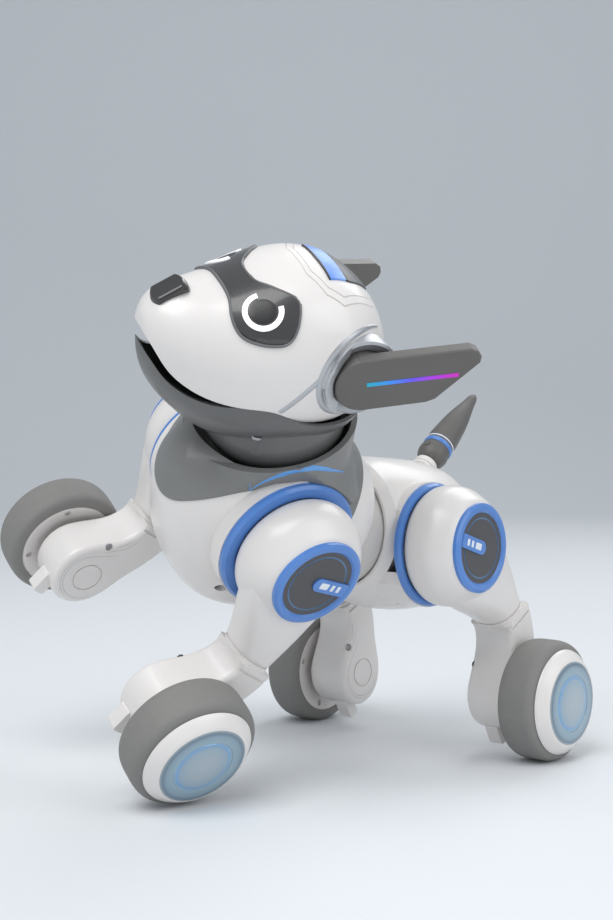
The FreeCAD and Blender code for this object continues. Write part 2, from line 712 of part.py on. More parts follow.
switch_bed = box(-SWITCH_HALF - 7.0, SWITCH_HALF + 7.0, SWITCH_AT - 4.2, SWITCH_AT + 4.6, -OVER, SWITCH_FLOOR)
rear_mid = body_loft(REAR_SECTIONS, 1.0, -0.5 * WALL)
pack_ribs = [box(-13.0, 13.0, 51.0, 54.0, -OVER, PACK_FLOOR), box(-13.0, -11.0, 51.0, 74.0, -OVER, PACK_FLOOR),
             box(11.0, 13.0, 51.0, 74.0, -OVER, PACK_FLOOR)]
inner_set = switch_bed.fuse(pack_ribs).common(rear_mid)
rear_lower = rear_lower.fuse(inner_set)
switch_low = SWITCH_AT - SWITCH_WIDE / 2
switch_high = SWITCH_AT + SWITCH_WIDE / 2
rear_lower = rear_lower.cut(box(-SWITCH_HALF, SWITCH_HALF, switch_low, switch_high, -OVER, -30.0))
knob_x0 = RUN_GAP - SWITCH_HALF
knob_x1 = SWITCH_HALF - SWITCH_TRAVEL - RUN_GAP
knob = box(knob_x0, knob_x1, switch_low + RUN_GAP, switch_high - RUN_GAP, SWITCH_FACE, SWITCH_FLOOR + 1.0)
for ridge in range(3):
    ridge_x = knob_x0 + 2.6 + ridge * 1.7
    knob = knob.cut(box(ridge_x, ridge_x + 0.7, 0.0, OVER * 2, SWITCH_FACE - 1.0, SWITCH_FACE + 0.5))
flange = box(knob_x0 - 2.6, knob_x1 + 2.6, SWITCH_AT - 3.6, SWITCH_AT + 3.6, SWITCH_FLOOR + RUN_GAP,
             SWITCH_FLOOR + 1.4)
nodes["power_switch"] = moved(knob.fuse(flange), [("move", WAIST, 0)])

rear_screws = []
for row_y, seat_z in REAR_SCREW_ROWS:
    for side in (-1.0, 1.0):
        seat = V(side * REAR_SCREW_X, row_y, seat_z)
        rear_lower = seated(rear_lower, rear_mid, seat, Z * -1.0)
        rear_screws.append(pan_screw(seat, Z * -1.0, X))
nodes["rear_screws"] = moved(Part.makeCompound(rear_screws), [("move", WAIST, 0)])
board_posts = []
for post_x in (-15.0, 15.0):
    for post_y in (50.0, 70.0):
        board_posts.append(Part.makeCylinder(2.2, 40.0, V(post_x, post_y, BOARD_TOP), Z))
rear_upper = rear_upper.fuse(board_posts[0].fuse(board_posts[1:]).common(rear_mid))
nodes["rear_shell_upper"] = rear_upper
nodes["rear_shell_lower"] = rear_lower
nodes["belly_cover"] = belly_cover
nodes["charge_jack"] = jack
nodes["hip_rings"] = both(trim_ring(REL_HIP_Y, REL_HIP_Z, HIP_RING_R))
rim = turned([(-RIM_FRONT, RIM_BORE), (-RIM_FRONT, RIM_LIP_R), (0.0, RIM_R), (0.0, RIM_R - 2.6),
              (RIM_BACK, RIM_R - 2.6), (RIM_BACK, RIM_BORE)], V(0, 0, 0), Y, Z)
nodes["waist_rim"] = rim
hip_box = gearbox(REL_HIP_Y, REL_HIP_Z, 30.0, 26.0)
pitch = math.radians(WAIST_PITCH)
waist_dir = V(0, -math.cos(pitch), math.sin(pitch))
waist_side = V(0, math.sin(pitch), math.cos(pitch))
waist_box = Part.makeCylinder(11.0, 20.0, waist_dir * -36.0, waist_dir)
waist_box = waist_box.cut(Part.makeCylinder(SPINDLE_R + RUN_GAP, 30.0, waist_dir * -33.0, waist_dir))
nodes["gearbox_set"] = Part.makeCompound([hip_box, mirror(hip_box), waist_box])
nodes["battery_pack"] = box(-13.0, 13.0, 42.0, 74.0, PACK_FLOOR, -13.0)
nodes["rear_board"] = box(-20.0, 20.0, 44.0, 76.0, BOARD_TOP - 1.6, BOARD_TOP)

for name in ("rear_shell_upper", "rear_shell_lower", "belly_cover", "charge_jack", "hip_rings",
             "waist_rim", "gearbox_set", "battery_pack", "rear_board"):
    nodes[name] = moved(nodes[name], [("move", WAIST, 0)])

# ---------------------------------------------------------------- tail
tail = smooth_turned([(-TAIL_BALL, 0.0), (-7.6, 3.8), (-5.2, 6.75), (-1.0, 8.4), (2.5, 8.2), (5.0, 7.8),
                      (9.0, 8.15), (16.0, 7.9), (25.0, 7.0), (35.0, 5.3), (44.0, 3.4), (50.0, 1.9),
                      (52.2, 0.0)], TAIL_AT, tail_dir, tail_side)
wag_pin = Part.makeCylinder(WAG_PIN_R, 2 * WAG_PIN_HALF, TAIL_AT - tail_side * WAG_PIN_HALF, tail_side)
nodes["tail"] = moved(tail.fuse(wag_pin), [("move", WAIST, 0)])

# ---------------------------------------------------------------- front torso
front_shell, front_outer = torso(FRONT_SECTIONS, -1.0, -SHOULDER_S, SHOULDER_H, SHOULDER_RING_R)
front_shell = front_shell.cut(Part.makeCylinder(26.0, 10.0, V(0, -FRONT_START + 2.0, 0), V(0, -1, 0)))

neck_at = V(0, -NECK_S, NECK_H)
lean = math.radians(NECK_LEAN)
neck_dir = V(0, -math.sin(lean), math.cos(lean))
neck_side = V(0, math.cos(lean), math.sin(lean))
WELL_R = 36.2
POST_R = 9.0
COLLAR_SIDE = 39.4
RIM_MID = 7.0
RIM_SLOPE = 0.24
well_cut = turned([(-16.5, 0.0), (-16.5, 19.0), (-13.8, 28.4), (-7.4, 35.6), (0.0, WELL_R + 1.6),
                   (60.0, WELL_R + 1.9), (60.0, 0.0)], neck_at, neck_dir, neck_side)
front_shell = front_shell.cut(well_cut)
collar_loft = body_loft(FRONT_SECTIONS, -1.0, 1.4)
edge_pts = [V(-x, -OVER * 3, h) for x, h in COLLAR_EDGE[::-1]]
edge_pts += [V(x, -OVER * 3, h) for x, h in COLLAR_EDGE[1:]]
edge_curve = Part.BSplineCurve()
edge_curve.interpolate(edge_pts)
roof = [V(OVER, -OVER * 3, 36.0), V(OVER, -OVER * 3, OVER * 2), V(-OVER, -OVER * 3, OVER * 2),
        V(-OVER, -OVER * 3, 36.0)]
edge_wire = Part.Wire([edge_curve.toShape(), Part.makePolygon([edge_pts[-1]] + roof + [edge_pts[0]])])
shawl = Part.Face(edge_wire).extrude(V(0, OVER * 3 - COLLAR_BACK, 0))
slab = box(-COLLAR_SIDE, COLLAR_SIDE, -OVER * 4, OVER, -OVER * 2, OVER * 2)
cone = turned([(30.0, 36.0), (30.0, 38.2), (-2.0, 39.6), (-10.0, 43.5), (-20.0, 48.0), (-24.0, 44.0),
               (-24.0, 0.0), (-13.0, 0.0)], neck_at, neck_dir, neck_side)
rim_low = V(0, -WELL_R, RIM_MID - RIM_SLOPE * WELL_R)
tilt = math.atan(RIM_SLOPE)
above = Part.makeBox(OVER * 2, OVER * 2, OVER, V(-OVER, -OVER, 0.0))
above = moved(above, [("turn", X, math.degrees(tilt)), ("move", V(0, 0, RIM_MID), 0),
                      ("turn", X, NECK_LEAN), ("move", neck_at, 0)])
well_clear = turned([(-13.6, 0.0), (-13.6, 18.0), (-11.0, 27.0), (-5.0, 33.6), (2.0, WELL_R),
                     (60.0, WELL_R + 0.6), (60.0, 0.0)], neck_at, neck_dir, neck_side)
bowl = turned([(-16.5, 0.0), (-16.5, 19.0), (-13.8, 28.4), (-7.4, 35.6), (0.0, WELL_R + 1.6),
               (30.0, WELL_R + 1.75), (30.0, 0.0)], neck_at, neck_dir, neck_side)
cone = cone.common(slab).cut(above)
collar = collar_loft.cut(front_outer).fuse(cone.cut(front_outer)).common(shawl)
collar = collar.fuse(bowl.common(front_outer.fuse(cone)))
collar = collar.cut(well_clear)
collar = collar.cut(Part.makeCylinder(POST_R + RUN_GAP, 30.0, neck_at + neck_dir * -24.0, neck_dir))
ring_clear = cylinder_x(SHOULDER_RING_R + RUN_GAP, HIP_X - RING_SINK, OVER * 2, -SHOULDER_S, SHOULDER_H)
collar = collar.cut([ring_clear, mirror(ring_clear)])
collar = keep_solids(collar)
nodes["collar"] = collar
front_shell = front_shell.cut(collar)

PART_LINE_FRONT = -27.0
upper_zone = box(-OVER, OVER, -OVER * 3, OVER, PART_LINE_FRONT, OVER * 2)
nodes["front_shell_upper"] = front_shell.common(upper_zone)
front_lower = front_shell.cut(upper_zone)
front_screws = []
front_mid = body_loft(FRONT_SECTIONS, -1.0, -0.5 * WALL)
for side in (-1.0, 1.0):
    seat = V(side * FRONT_SCREW_SEAT, -FRONT_SCREW_S, FRONT_SCREW_H)
    front_lower = seated(front_lower, front_mid, seat, X * side)
    front_screws.append(pan_screw(seat, X * side, Z))
nodes["front_screws"] = moved(Part.makeCompound(front_screws), FRONT_STEPS)
nodes["front_shell_lower"] = front_lower
drum = Part.makeSphere(DRUM_R, V(0, 0, 0))
drum = drum.cut(Part.makeSphere(DRUM_R - DRUM_WALL, V(0, 0, 0)))
drum = drum.common(Part.makeCylinder(40.0, FRONT_START + 4.0 + 8.0, V(0, 8.0, 0), V(0, -1, 0)))
spider = Part.makeCylinder(DRUM_R - 1.2, DRUM_WALL, V(0, -FRONT_START + 6.0, 0), V(0, -1, 0))
spindle = Part.makeCylinder(SPINDLE_R, SPINDLE_BACK + FRONT_START, V(0, SPINDLE_BACK, 0), V(0, -1, 0))
nodes["waist_drum"] = keep_solids(drum.fuse([spider.common(Part.makeSphere(DRUM_R - 0.5, V(0, 0, 0))), spindle]))
nodes["shoulder_rings"] = both(trim_ring(-SHOULDER_S, SHOULDER_H, SHOULDER_RING_R))
front_box = gearbox(-SHOULDER_S, SHOULDER_H, 24.0, 26.0)
neck_motor = Part.makeCylinder(13.0, 14.0, neck_at + neck_dir * -30.5, neck_dir)
neck_motor = neck_motor.cut(Part.makeCylinder(POST_R + RUN_GAP, 20.0, neck_at + neck_dir * -27.0, neck_dir))
nodes["front_gearbox_set"] = Part.makeCompound([front_box, mirror(front_box), neck_motor])

for name in ("collar", "front_shell_upper", "front_shell_lower", "waist_drum", "shoulder_rings",
             "front_gearbox_set"):
    nodes[name] = moved(nodes[name], FRONT_STEPS)

# ---------------------------------------------------------------- head
head_outer = body_loft(HEAD_SECTIONS, 1.0, 0.0)
head_inner = body_loft(HEAD_SECTIONS, 1.0, -WALL)
below_mouth = profile_prism(MOUTH_LINE, -OVER, -OVER, OVER)
head_shell = head_outer.cut(head_inner).cut(below_mouth)
below_jaw_line = profile_prism(JAW_LINE, -OVER, -OVER, OVER)
jaw_outer = body_loft(JAW_SECTIONS, 1.0, 0.0)
bowl_rows = [(-11.0, 0.0), (-10.6, 11.0), (-8.6, 20.0), (-4.5, 27.4), (2.0, 31.8), (10.0, 33.4), (18.0, 33.2)]
jaw_bowl = smooth_turned(bowl_rows + [(25.0, 31.5)], V(0, 0, 0), Z, X)
jaw_core = body_loft(JAW_SECTIONS, 1.0, -WALL)
bowl_core = smooth_turned([(-11.0 + WALL, 0.0), (-8.5, 10.0), (-6.7, 18.4), (-3.0, 25.2), (2.8, 29.5),
                           (10.0, 31.2), (18.0, 31.0), (30.0, 28.5)], V(0, 0, 0), Z, X)
jaw = jaw_outer.fuse(jaw_bowl).common(below_jaw_line)
jaw = jaw.cut(jaw_core.fuse(bowl_core))
jaw = jaw.cut(Part.makeCylinder(POST_R, 20.0, V(0, 0, -15.0), Z))
jaw_mid = body_loft(JAW_SECTIONS, 1.0, -0.5 * WALL)
chin_screws = []
for side in (-1.0, 1.0):
    chin_seat = V(side * CHIN_X, CHIN_Y, CHIN_SEAT)
    jaw = seated(jaw, jaw_mid, chin_seat, Z * -1.0)
    chin_screws.append(pan_screw(chin_seat, Z * -1.0, X))
jaw = keep_solids(jaw)
nodes["chin_screws"] = Part.makeCompound(chin_screws)
post = Part.makeCylinder(POST_R, 40.0, V(0, 0, -26.0), Z)
post = post.fuse(Part.makeCylinder(POST_R + 3.0, 3.0, V(0, 0, -11.0 + WALL + 0.6), Z))
EAR_Y = 17.5
EAR_Z = 51.5
EAR_X = 33.0
BEZEL_R = 18.2
BEZEL_BORE = 13.3
EAR_PIN = 3.5
BEZEL_SLOPE = 0.5
TILT_ROOM = 0.8
bezel_zone = cylinder_x(BEZEL_R, EAR_X - 2.0, OVER, EAR_Y, EAR_Z)
head_shell = head_shell.cut([bezel_zone, mirror(bezel_zone)])
bezel = turned([(EAR_X - 2.0, EAR_PIN + RUN_GAP), (EAR_X - 2.0, BEZEL_R), (EAR_X + 5.6, BEZEL_R),
                (EAR_X + 6.2, BEZEL_R - 1.2), (EAR_X + 4.4, BEZEL_BORE), (EAR_X, BEZEL_BORE),
                (EAR_X, EAR_PIN + RUN_GAP)], V(0, EAR_Y, EAR_Z), X, Z)
front_bore = BEZEL_BORE + TILT_ROOM
bezel_front = turned([(EAR_X, front_bore), (EAR_X, BEZEL_R), (EAR_X + 9.6, BEZEL_R), (EAR_X + 10.2, BEZEL_R - 1.0),
                      (EAR_X + 8.6, front_bore)], V(0, EAR_Y, EAR_Z), X, Z)
slope = [(EAR_X, -8.0), (EAR_X + 6.0, -8.0), (EAR_X + 11.0, -8.0 - 5.0 / BEZEL_SLOPE), (EAR_X + 11.0, -OVER), (EAR_X, -OVER)]
slope_face = Part.Face(Part.makePolygon([V(x, EAR_Y + y, 0.0) for x, y in slope + slope[:1]]))
bezel = bezel.fuse(bezel_front.common(slope_face.extrude(V(0, 0, OVER * 2))))


def mirrored_outline(half, z):
    points = [V(x, y, z) for x, y in half]
    points += [V(-x, y, z) for x, y in half[::-1] if x > 1e-6]
    points.append(points[0])
    return points


def top_prism(half, z0, z1):
    return Part.Face(Part.makePolygon(mirrored_outline(half, z0))).extrude(V(0, 0, z1 - z0))


skin_one = body_loft(HEAD_SECTIONS, 1.0, SKIN)
skin_two = body_loft(HEAD_SECTIONS, 1.0, SKIN + 0.6)
visor = skin_one.common(top_prism(VISOR_HALF, 58.0, 120.0)).cut(head_outer)
window = skin_one.common(top_prism(WINDOW_HALF, 60.0, 120.0)).cut(head_outer)
eye_at = V(*EYE_AT)
eye_dir = V(*EYE_DIR)
eye_dir.normalize()
eye = Part.makeCylinder(EYE_R, 12.0, eye_at - eye_dir * 6.0, eye_dir)
eye = eye.cut(Part.makeCylinder(EYE_R - EYE_BAND, 12.0, eye_at - eye_dir * 6.0, eye_dir))
gap_dir = V(*EYE_GAP)
gap_dir = gap_dir - eye_dir * gap_dir.dot(eye_dir)
gap_dir.normalize()
gap_side = eye_dir.cross(gap_dir)
wedge_pts = [eye_at, eye_at + gap_dir * 14.0 + gap_side * EYE_GAP_HALF,
             eye_at + gap_dir * 14.0 - gap_side * EYE_GAP_HALF, eye_at]
wedge = Part.Face(Part.makePolygon([q - eye_dir * 8.0 for q in wedge_pts])).extrude(eye_dir * 16.0)
eye = eye.cut(wedge).common(skin_two).cut(skin_one)
groove_skin = head_outer.cut(body_loft(HEAD_SECTIONS, 1.0, -GROOVE_DEEP))
for step in range(2):
    grow = 1.0 + step * GROOVE_STEP / 20.0
    outer_half = [(x * grow, 14.0 + (y - 14.0) * grow) for x, y in GROOVE_HALF]
    thin = 1.0 - GROOVE_WIDE / 20.0
    inner_half = [(x * thin, 14.0 + (y - 14.0) * thin) for x, y in outer_half]
    outer_half.append((outer_half[-1][0], 60.0))
    inner_half.append((inner_half[-1][0], 60.0))
    band = top_prism(outer_half + [(0.0, 60.0)], 62.0, 110.0)
    band = band.cut(top_prism(inner_half + [(0.0, 61.0)], 61.0, 111.0))
    head_shell = head_shell.cut(band.common(groove_skin))
nose = Part.makeSphere(NOSE_R, V(0, 0, 0))
nose_face = Part.Face(Part.makePolygon([V(x, -OVER, z) for x, z in NOSE_OUTLINE]))
nose_bar = nose_face.extrude(V(0, 2 * OVER, 0))
nose_bar = nose_bar.makeFillet(NOSE_CORNER, [e for e in nose_bar.Edges if e.BoundBox.YLength > OVER])
nose = nose.common(nose_bar)
nose.translate(V(0, NOSE_SINK, 0))
nose.rotate(V(0, 0, 0), X, 32.0)
nose.translate(V(*NOSE_AT))
nose = nose.cut(head_outer)
nodes["visor"] = keep_solids(visor)
nodes["crown_window"] = keep_solids(window)
nodes["eye_rings"] = both(keep_solids(eye))
nodes["nose"] = keep_solids(nose)
nodes["head_shell"] = keep_solids(head_shell)
nodes["jaw"] = jaw
nodes["neck_post"] = keep_solids(post)
nodes["ear_bezels"] = both(bezel)
for name in ("head_shell", "jaw", "chin_screws", "neck_post", "ear_bezels", "visor", "crown_window", "eye_rings", "nose"):
    nodes[name] = moved(nodes[name], HEAD_STEPS + FRONT_STEPS)

# ---------------------------------------------------------------- ears
EAR_TIP = 51.5
EAR_HALF = 12.8
EAR_HUB = 12.8
EAR_THICK = 5.6
ear_hub = cylinder_x(EAR_HUB, EAR_X + 0.4, EAR_X + 9.0)
hub_out = EAR_X + 6.6
blade = prism_x([(-2.0, EAR_HALF), (EAR_TIP - 5.0, EAR_HALF + 0.2), (EAR_TIP - 1.6, EAR_HALF - 1.6),
                 (EAR_TIP, EAR_HALF - 4.4), (EAR_TIP - 0.4, EAR_HALF - 7.4), (EAR_TIP - 19.6, 1.6 - EAR_HALF),
                 (EAR_TIP - 24.0, 0.4 - EAR_HALF), (-2.0, -EAR_HALF)], 0.0, EAR_THICK)
blade = blade.fuse(cylinder_x(EAR_HUB, 0.0, EAR_THICK))
blade = blade.removeSplitter()
outer_edges = [e for e in blade.Edges if abs(e.CenterOfMass.x - EAR_THICK) < 0.01]
blade = blade.makeFillet(1.1, outer_edges)
strip = box(EAR_THICK - 0.7, EAR_THICK + 0.2, 1.0, EAR_TIP - 10.0, -0.2, 1.7)
blade = blade.cut(strip)
aim = [("turn", Z, -EAR_SPLAY), ("move", V(hub_out, 0, 0), 0)]
blade = moved(blade, aim)
strip = moved(strip, aim)
pin = cylinder_x(EAR_PIN, EAR_X - 4.0, EAR_X + 2.0)
ear = keep_solids(ear_hub.fuse([blade, pin]))
for tag, left, lift in (("left", True, EAR_UP_LEFT), ("right", False, EAR_UP_RIGHT)):
    for name, shape in (("ear_" + tag, ear), ("ear_light_" + tag, strip)):
        out = moved(shape, [("turn", X, lift), ("move", V(0, EAR_Y, EAR_Z), 0)])
        if not left:
            out = mirror(out)
        nodes[name] = moved(out, HEAD_STEPS + FRONT_STEPS)

# ---------------------------------------------------------------- origin on the floor under the middle
OUTERMOST = ("tyre_rl", "lens_fr", "lens_rl", "ear_left", "ear_right", "head_shell", "jaw", "tail")
box_all = FreeCAD.BoundBox()
for name in OUTERMOST:
    box_all.add(nodes[name].optimalBoundingBox(True, False))
ORIGIN_SHIFT = V(-box_all.Center.x, -box_all.Center.y, -box_all.ZMin)
print("origin shift", ORIGIN_SHIFT, "size", box_all.XLength, box_all.YLength, box_all.ZLength)

os.makedirs("parts", exist_ok=True)
for name, shape in nodes.items():
    shape.translate(ORIGIN_SHIFT)
    shape.exportStep("parts/" + name + ".step")
    print(name, shape.isValid(), len(shape.Solids), round(shape.Volume, 1))
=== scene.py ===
"""Looks of the rolling robot puppy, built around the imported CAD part."""
import json
import math

import bpy
import numpy as np
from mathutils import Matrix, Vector
from mathutils.bvhtree import BVHTree


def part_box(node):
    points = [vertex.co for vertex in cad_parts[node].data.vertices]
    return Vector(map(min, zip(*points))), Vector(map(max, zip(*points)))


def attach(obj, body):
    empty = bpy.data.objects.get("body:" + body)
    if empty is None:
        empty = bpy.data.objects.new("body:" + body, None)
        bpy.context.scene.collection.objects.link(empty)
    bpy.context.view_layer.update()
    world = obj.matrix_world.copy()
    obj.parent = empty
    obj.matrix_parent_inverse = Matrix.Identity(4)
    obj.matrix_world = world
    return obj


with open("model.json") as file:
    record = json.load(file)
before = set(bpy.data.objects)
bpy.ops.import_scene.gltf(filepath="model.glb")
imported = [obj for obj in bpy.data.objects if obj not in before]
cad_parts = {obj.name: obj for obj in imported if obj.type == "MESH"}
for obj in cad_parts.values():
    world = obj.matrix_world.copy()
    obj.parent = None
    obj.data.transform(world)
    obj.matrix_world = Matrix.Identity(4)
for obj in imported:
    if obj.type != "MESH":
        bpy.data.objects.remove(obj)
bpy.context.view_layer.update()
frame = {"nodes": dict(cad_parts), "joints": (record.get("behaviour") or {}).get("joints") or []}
NODES = frame["nodes"]
JOINTS = {joint["name"]: joint for joint in frame["joints"]}
MM = 0.001
TURN = 2.0 * math.pi


# ------------------------------------------------------------------ local frames, from the joints
class Axes:
    """Where a set of axes sits and its x, y and z directions; a hand of -1 mirrors y."""

    def __init__(self, at, x, z, hand=1.0):
        self.at = Vector(at)
        self.z = Vector(z).normalized()
        self.y = self.z.cross(Vector(x)).normalized() * hand
        self.x = self.y.cross(self.z) * hand

    def point(self, x, y, z):
        """A place given in local millimetres."""
        return self.at + self.x * (x * MM) + self.y * (y * MM) + self.z * (z * MM)

    def turned(self, vector):
        """A direction given in local terms."""
        return self.x * vector[0] + self.y * vector[1] + self.z * vector[2]


def joint_axis(name):
    return Vector(JOINTS[name]["axis"])


def joint_place(name):
    return Vector(JOINTS[name]["pos_m"])


HEAD = Axes(joint_place("head_yaw"), joint_axis("ear_lift_left"), joint_axis("head_yaw"))
FRONT_SIDE = -joint_axis("shoulder_fl")
FRONT = Axes(joint_place("waist_twist"), FRONT_SIDE, FRONT_SIDE.cross(-joint_axis("waist_twist")))
LEGS = ("fl", "fr", "rl", "rr")
ARM = {"fl": "shoulder_fl", "fr": "shoulder_fr", "rl": "hip_rl", "rr": "hip_rr"}


def leg_axes(tag):
    """Leg frame: x straight out of the flank, z from the wheel's axle up to the joint's axis."""
    hand = 1.0 if tag in ("fl", "rl") else -1.0
    outward = -joint_axis(ARM[tag]) * hand
    up = joint_place(ARM[tag]) - joint_place("wheel_spin_" + tag)
    up = up - outward * up.dot(outward)
    return Axes(joint_place(ARM[tag]), outward, up, hand)


LEG = {tag: leg_axes(tag) for tag in LEGS}


def side_name(side):
    """The animal's left is +1 and its right is -1."""
    return "left" if side > 0 else "right"


# ------------------------------------------------------------------ shader helper
class Value:
    """One output of a node tree, with ordinary arithmetic."""

    def __init__(self, shader, socket):
        self.shader = shader
        self.socket = socket

    def math(self, operation, *others):
        return self.shader.add("ShaderNodeMath", {"operation": operation}, (self,) + others)

    def __add__(self, other):
        return self.math("ADD", other)

    def __sub__(self, other):
        return self.math("SUBTRACT", other)

    def __rsub__(self, other):
        return self.math("MULTIPLY_ADD", -1.0, other)

    def __mul__(self, other):
        return self.math("MULTIPLY", other)

    __radd__ = __add__
    __rmul__ = __mul__

    def step(self, low, high):
        """0 below low, 1 above high, smooth between."""
        settings = {"interpolation_type": "SMOOTHSTEP"}
        return self.shader.add("ShaderNodeMapRange", settings, (self, low, high, 0.0, 1.0))

    def between(self, low, high, soft):
        """1 from low to high, with a rise above low and a fall above high, each over soft."""
        return self.step(low, low + soft) * (1.0 - self.step(high, high + soft))

    def band(self, centre, half, soft):
        """1 within half of centre, falling to 0 over soft."""
        return 1.0 - (self - centre).math("ABSOLUTE").step(half, half + soft)


class Shader:
    """A procedural material around one Principled BSDF."""

    def __init__(self, name, color, rough, **constants):
        self.material = bpy.data.materials.new(name)
        self.material.use_nodes = True
        self.material.diffuse_color = (*color, 1.0)
        self.tree = self.material.node_tree
        self.bsdf = self.tree.nodes["Principled BSDF"]
        self.set("Base Color", (*color, 1.0))
        self.set("Roughness", rough)
        for key, value in constants.items():
            self.set(key.replace("_", " "), value)
        self.coords = self.add("ShaderNodeTexCoord", {}, {}, "Object")

    def feed(self, socket, value):
        if isinstance(value, Value):
            self.tree.links.new(value.socket, socket)
        else:
            socket.default_value = value

    def set(self, name, value):
        self.feed(self.bsdf.inputs[name], value)

    def add(self, kind, settings, sockets, output=0):
        """Any node: its settings first, with a ramp's stops, then the values or links of its sockets."""
        node = self.tree.nodes.new(kind)
        for key, value in settings.items():
            if key == "stops":
                lay_stops(node.color_ramp, value)
            else:
                setattr(node, key, value)
        for key, value in sockets.items() if isinstance(sockets, dict) else enumerate(sockets):
            self.feed(node.inputs[key], value)
        return Value(self, node.outputs[output])

    def noise(self, scale, detail=3.0):
        sockets = {"Vector": self.coords, "Scale": scale, "Detail": detail}
        return self.add("ShaderNodeTexNoise", {}, sockets)

    def along(self, at, direction):
        """Distance from a point along a direction, in millimetres."""
        away = self.add("ShaderNodeVectorMath", {"operation": "SUBTRACT"}, (self.coords, tuple(at)))
        settings = {"operation": "DOT_PRODUCT"}
        reach = self.add("ShaderNodeVectorMath", settings, (away, tuple(direction)), "Value")
        return reach * (1.0 / MM)

    def radius(self, at, axes):
        """Distance in millimetres from the line through a point along the axes' x."""
        y = self.along(at, axes.y)
        z = self.along(at, axes.z)
        return (y * y + z * z).math("SQRT")

    def mix(self, factor, first, second):
        """Colour between two, each a colour or a value."""
        first, second = [(*c, 1.0) if isinstance(c, tuple) else c for c in (first, second)]
        sockets = {"Factor": factor, 6: first, 7: second}
        return self.add("ShaderNodeMix", {"data_type": "RGBA"}, sockets, 2)

    def ramp(self, factor, stops):
        return self.add("ShaderNodeValToRGB", {"stops": stops}, {"Fac": factor})

    def bump(self, height, depth, strength):
        sockets = {"Strength": strength, "Distance": depth, "Height": height}
        self.set("Normal", self.add("ShaderNodeBump", {}, sockets))

    def glow(self, color, strength):
        self.set("Emission Color", color)
        self.set("Emission Strength", strength)


def lay_stops(ramp, stops):
    while len(ramp.elements) < len(stops):
        ramp.elements.new(0.5)
    for element, (place, color) in zip(ramp.elements, stops):
        element.position = place
        element.color = (*color, 1.0)


def scaled(color, factor):
    return tuple(min(1.0, channel * factor) for channel in color)


DRIFT_SCALE = 22.0          # noise scales: slow tone drift, uneven sheen, mould grain
SHEEN_SCALE = 95.0
GRAIN_SCALE = 1900.0


def plastic(name, color, rough, grain=0.02 * MM, mottle=0.05, spread=0.05, **constants):
    """Moulded plastic: faint tone drift, uneven sheen and the fine grain of the mould."""
    shader = Shader(name, color, rough, **constants)
    drift = shader.noise(DRIFT_SCALE, 4.0).step(0.3, 0.7)
    shader.set("Base Color", shader.mix(drift, scaled(color, 1.0 - mottle), scaled(color, 1.0 + mottle)))
    sheen = shader.noise(SHEEN_SCALE, 5.0)
    shader.set("Roughness", (sheen - 0.5) * (2.0 * spread) + rough)
    shader.bump(shader.noise(GRAIN_SCALE, 2.0), grain, 0.6)
    return shader


# ------------------------------------------------------------------ colours, linear
BLACK = (0.0, 0.0, 0.0)
WHITE = (0.80, 0.765, 0.74)
BLUE = (0.085, 0.235, 0.62)
STRIPE_BLUE = (0.11, 0.34, 0.74)
PALE_BLUE = (0.30, 0.50, 0.72)
LINE_BLUE = (0.16, 0.30, 0.50)
MID_GREY = (0.205, 0.205, 0.20)
JAW_GREY = (0.130, 0.130, 0.128)
DARK_GREY = (0.125, 0.118, 0.112)
TYRE_GREY = (0.225, 0.218, 0.208)
TYRE_DUST = (0.30, 0.29, 0.27)
# painted shade: the grey of the lines that stand for the shade in the shank's engraved grooves
GROOVE_SHADE_GREY = (0.19, 0.185, 0.18)
PLATE_GREY = (0.075, 0.075, 0.080)
EDGE_GREY = (0.15, 0.15, 0.155)
DRUM_GREY = (0.58, 0.555, 0.53)
VISOR_BLACK = (0.048, 0.046, 0.046)
PUPIL_BLACK = (0.020, 0.019, 0.019)
NOSE_BLACK = (0.024, 0.022, 0.022)
JACK_BLACK = (0.022, 0.022, 0.023)
# painted shade: the near-black of the sheet that stands for the shade inside the open mouth
MOUTH_SHADE_BLACK = (0.012, 0.012, 0.012)
SILVER = (0.50, 0.51, 0.53)
STEEL = (0.40, 0.40, 0.41)
NYLON = (0.62, 0.61, 0.56)
WRAP_BLUE = (0.05, 0.13, 0.40)
MARK_WHITE = (0.80, 0.84, 0.90)
BOARD_GREEN = (0.03, 0.17, 0.07)

# ------------------------------------------------------------------ sizes that materials follow, mm
DISC_LINE = 14.6            # radius of the pale line on a joint disc
LATHE_PITCH = 0.6           # between the turned circles of a joint disc
LENS_EDGE = 21.0            # radius of a wheel lens
LENS_GLOW = 13.4            # radius of its faintly lit ring
TREAD = (28.5, 30.4)        # radii over which a tyre's side turns into its tread
PANE = (5.0, 13.6)          # lit part of the crown window, in the head's y
FRAME_END = 15.0            # where the black bar behind the pane ends
EAR_SPAN = (2.0, 40.0)      # the light strip's ends, from the ear's axis
EAR_Y = 17.5                # the ears' axis in the head's frame
EAR_Z = 51.5
EAR_AXIS = HEAD.point(0.0, EAR_Y, EAR_Z)


# ------------------------------------------------------------------ materials
def white_shell():
    shader = plastic("white_shell", WHITE, 0.33, mottle=0.02, Coat_Weight=0.25, Coat_Roughness=0.12)
    shader.set("Subsurface Weight", 0.06)
    shader.set("Subsurface Radius", (0.004, 0.003, 0.002))
    return shader.material


def satin(name, color, rough, **constants):
    return plastic(name, color, rough, **constants).material


def disc_plate(name, axes):
    """Dark disc face with fine turned circles and one pale line around its groove."""
    shader = plastic(name, PLATE_GREY, 0.42, mottle=0.08)
    radius = shader.radius(axes.at, axes)
    turned = (radius * (TURN / LATHE_PITCH)).math("SINE") * 0.5 + 0.5
    plate = shader.mix(turned, scaled(PLATE_GREY, 0.85), scaled(PLATE_GREY, 1.15))
    line = radius.band(DISC_LINE, 0.30, 0.15)
    shader.set("Base Color", shader.mix(line, plate, LINE_BLUE))
    return shader.material


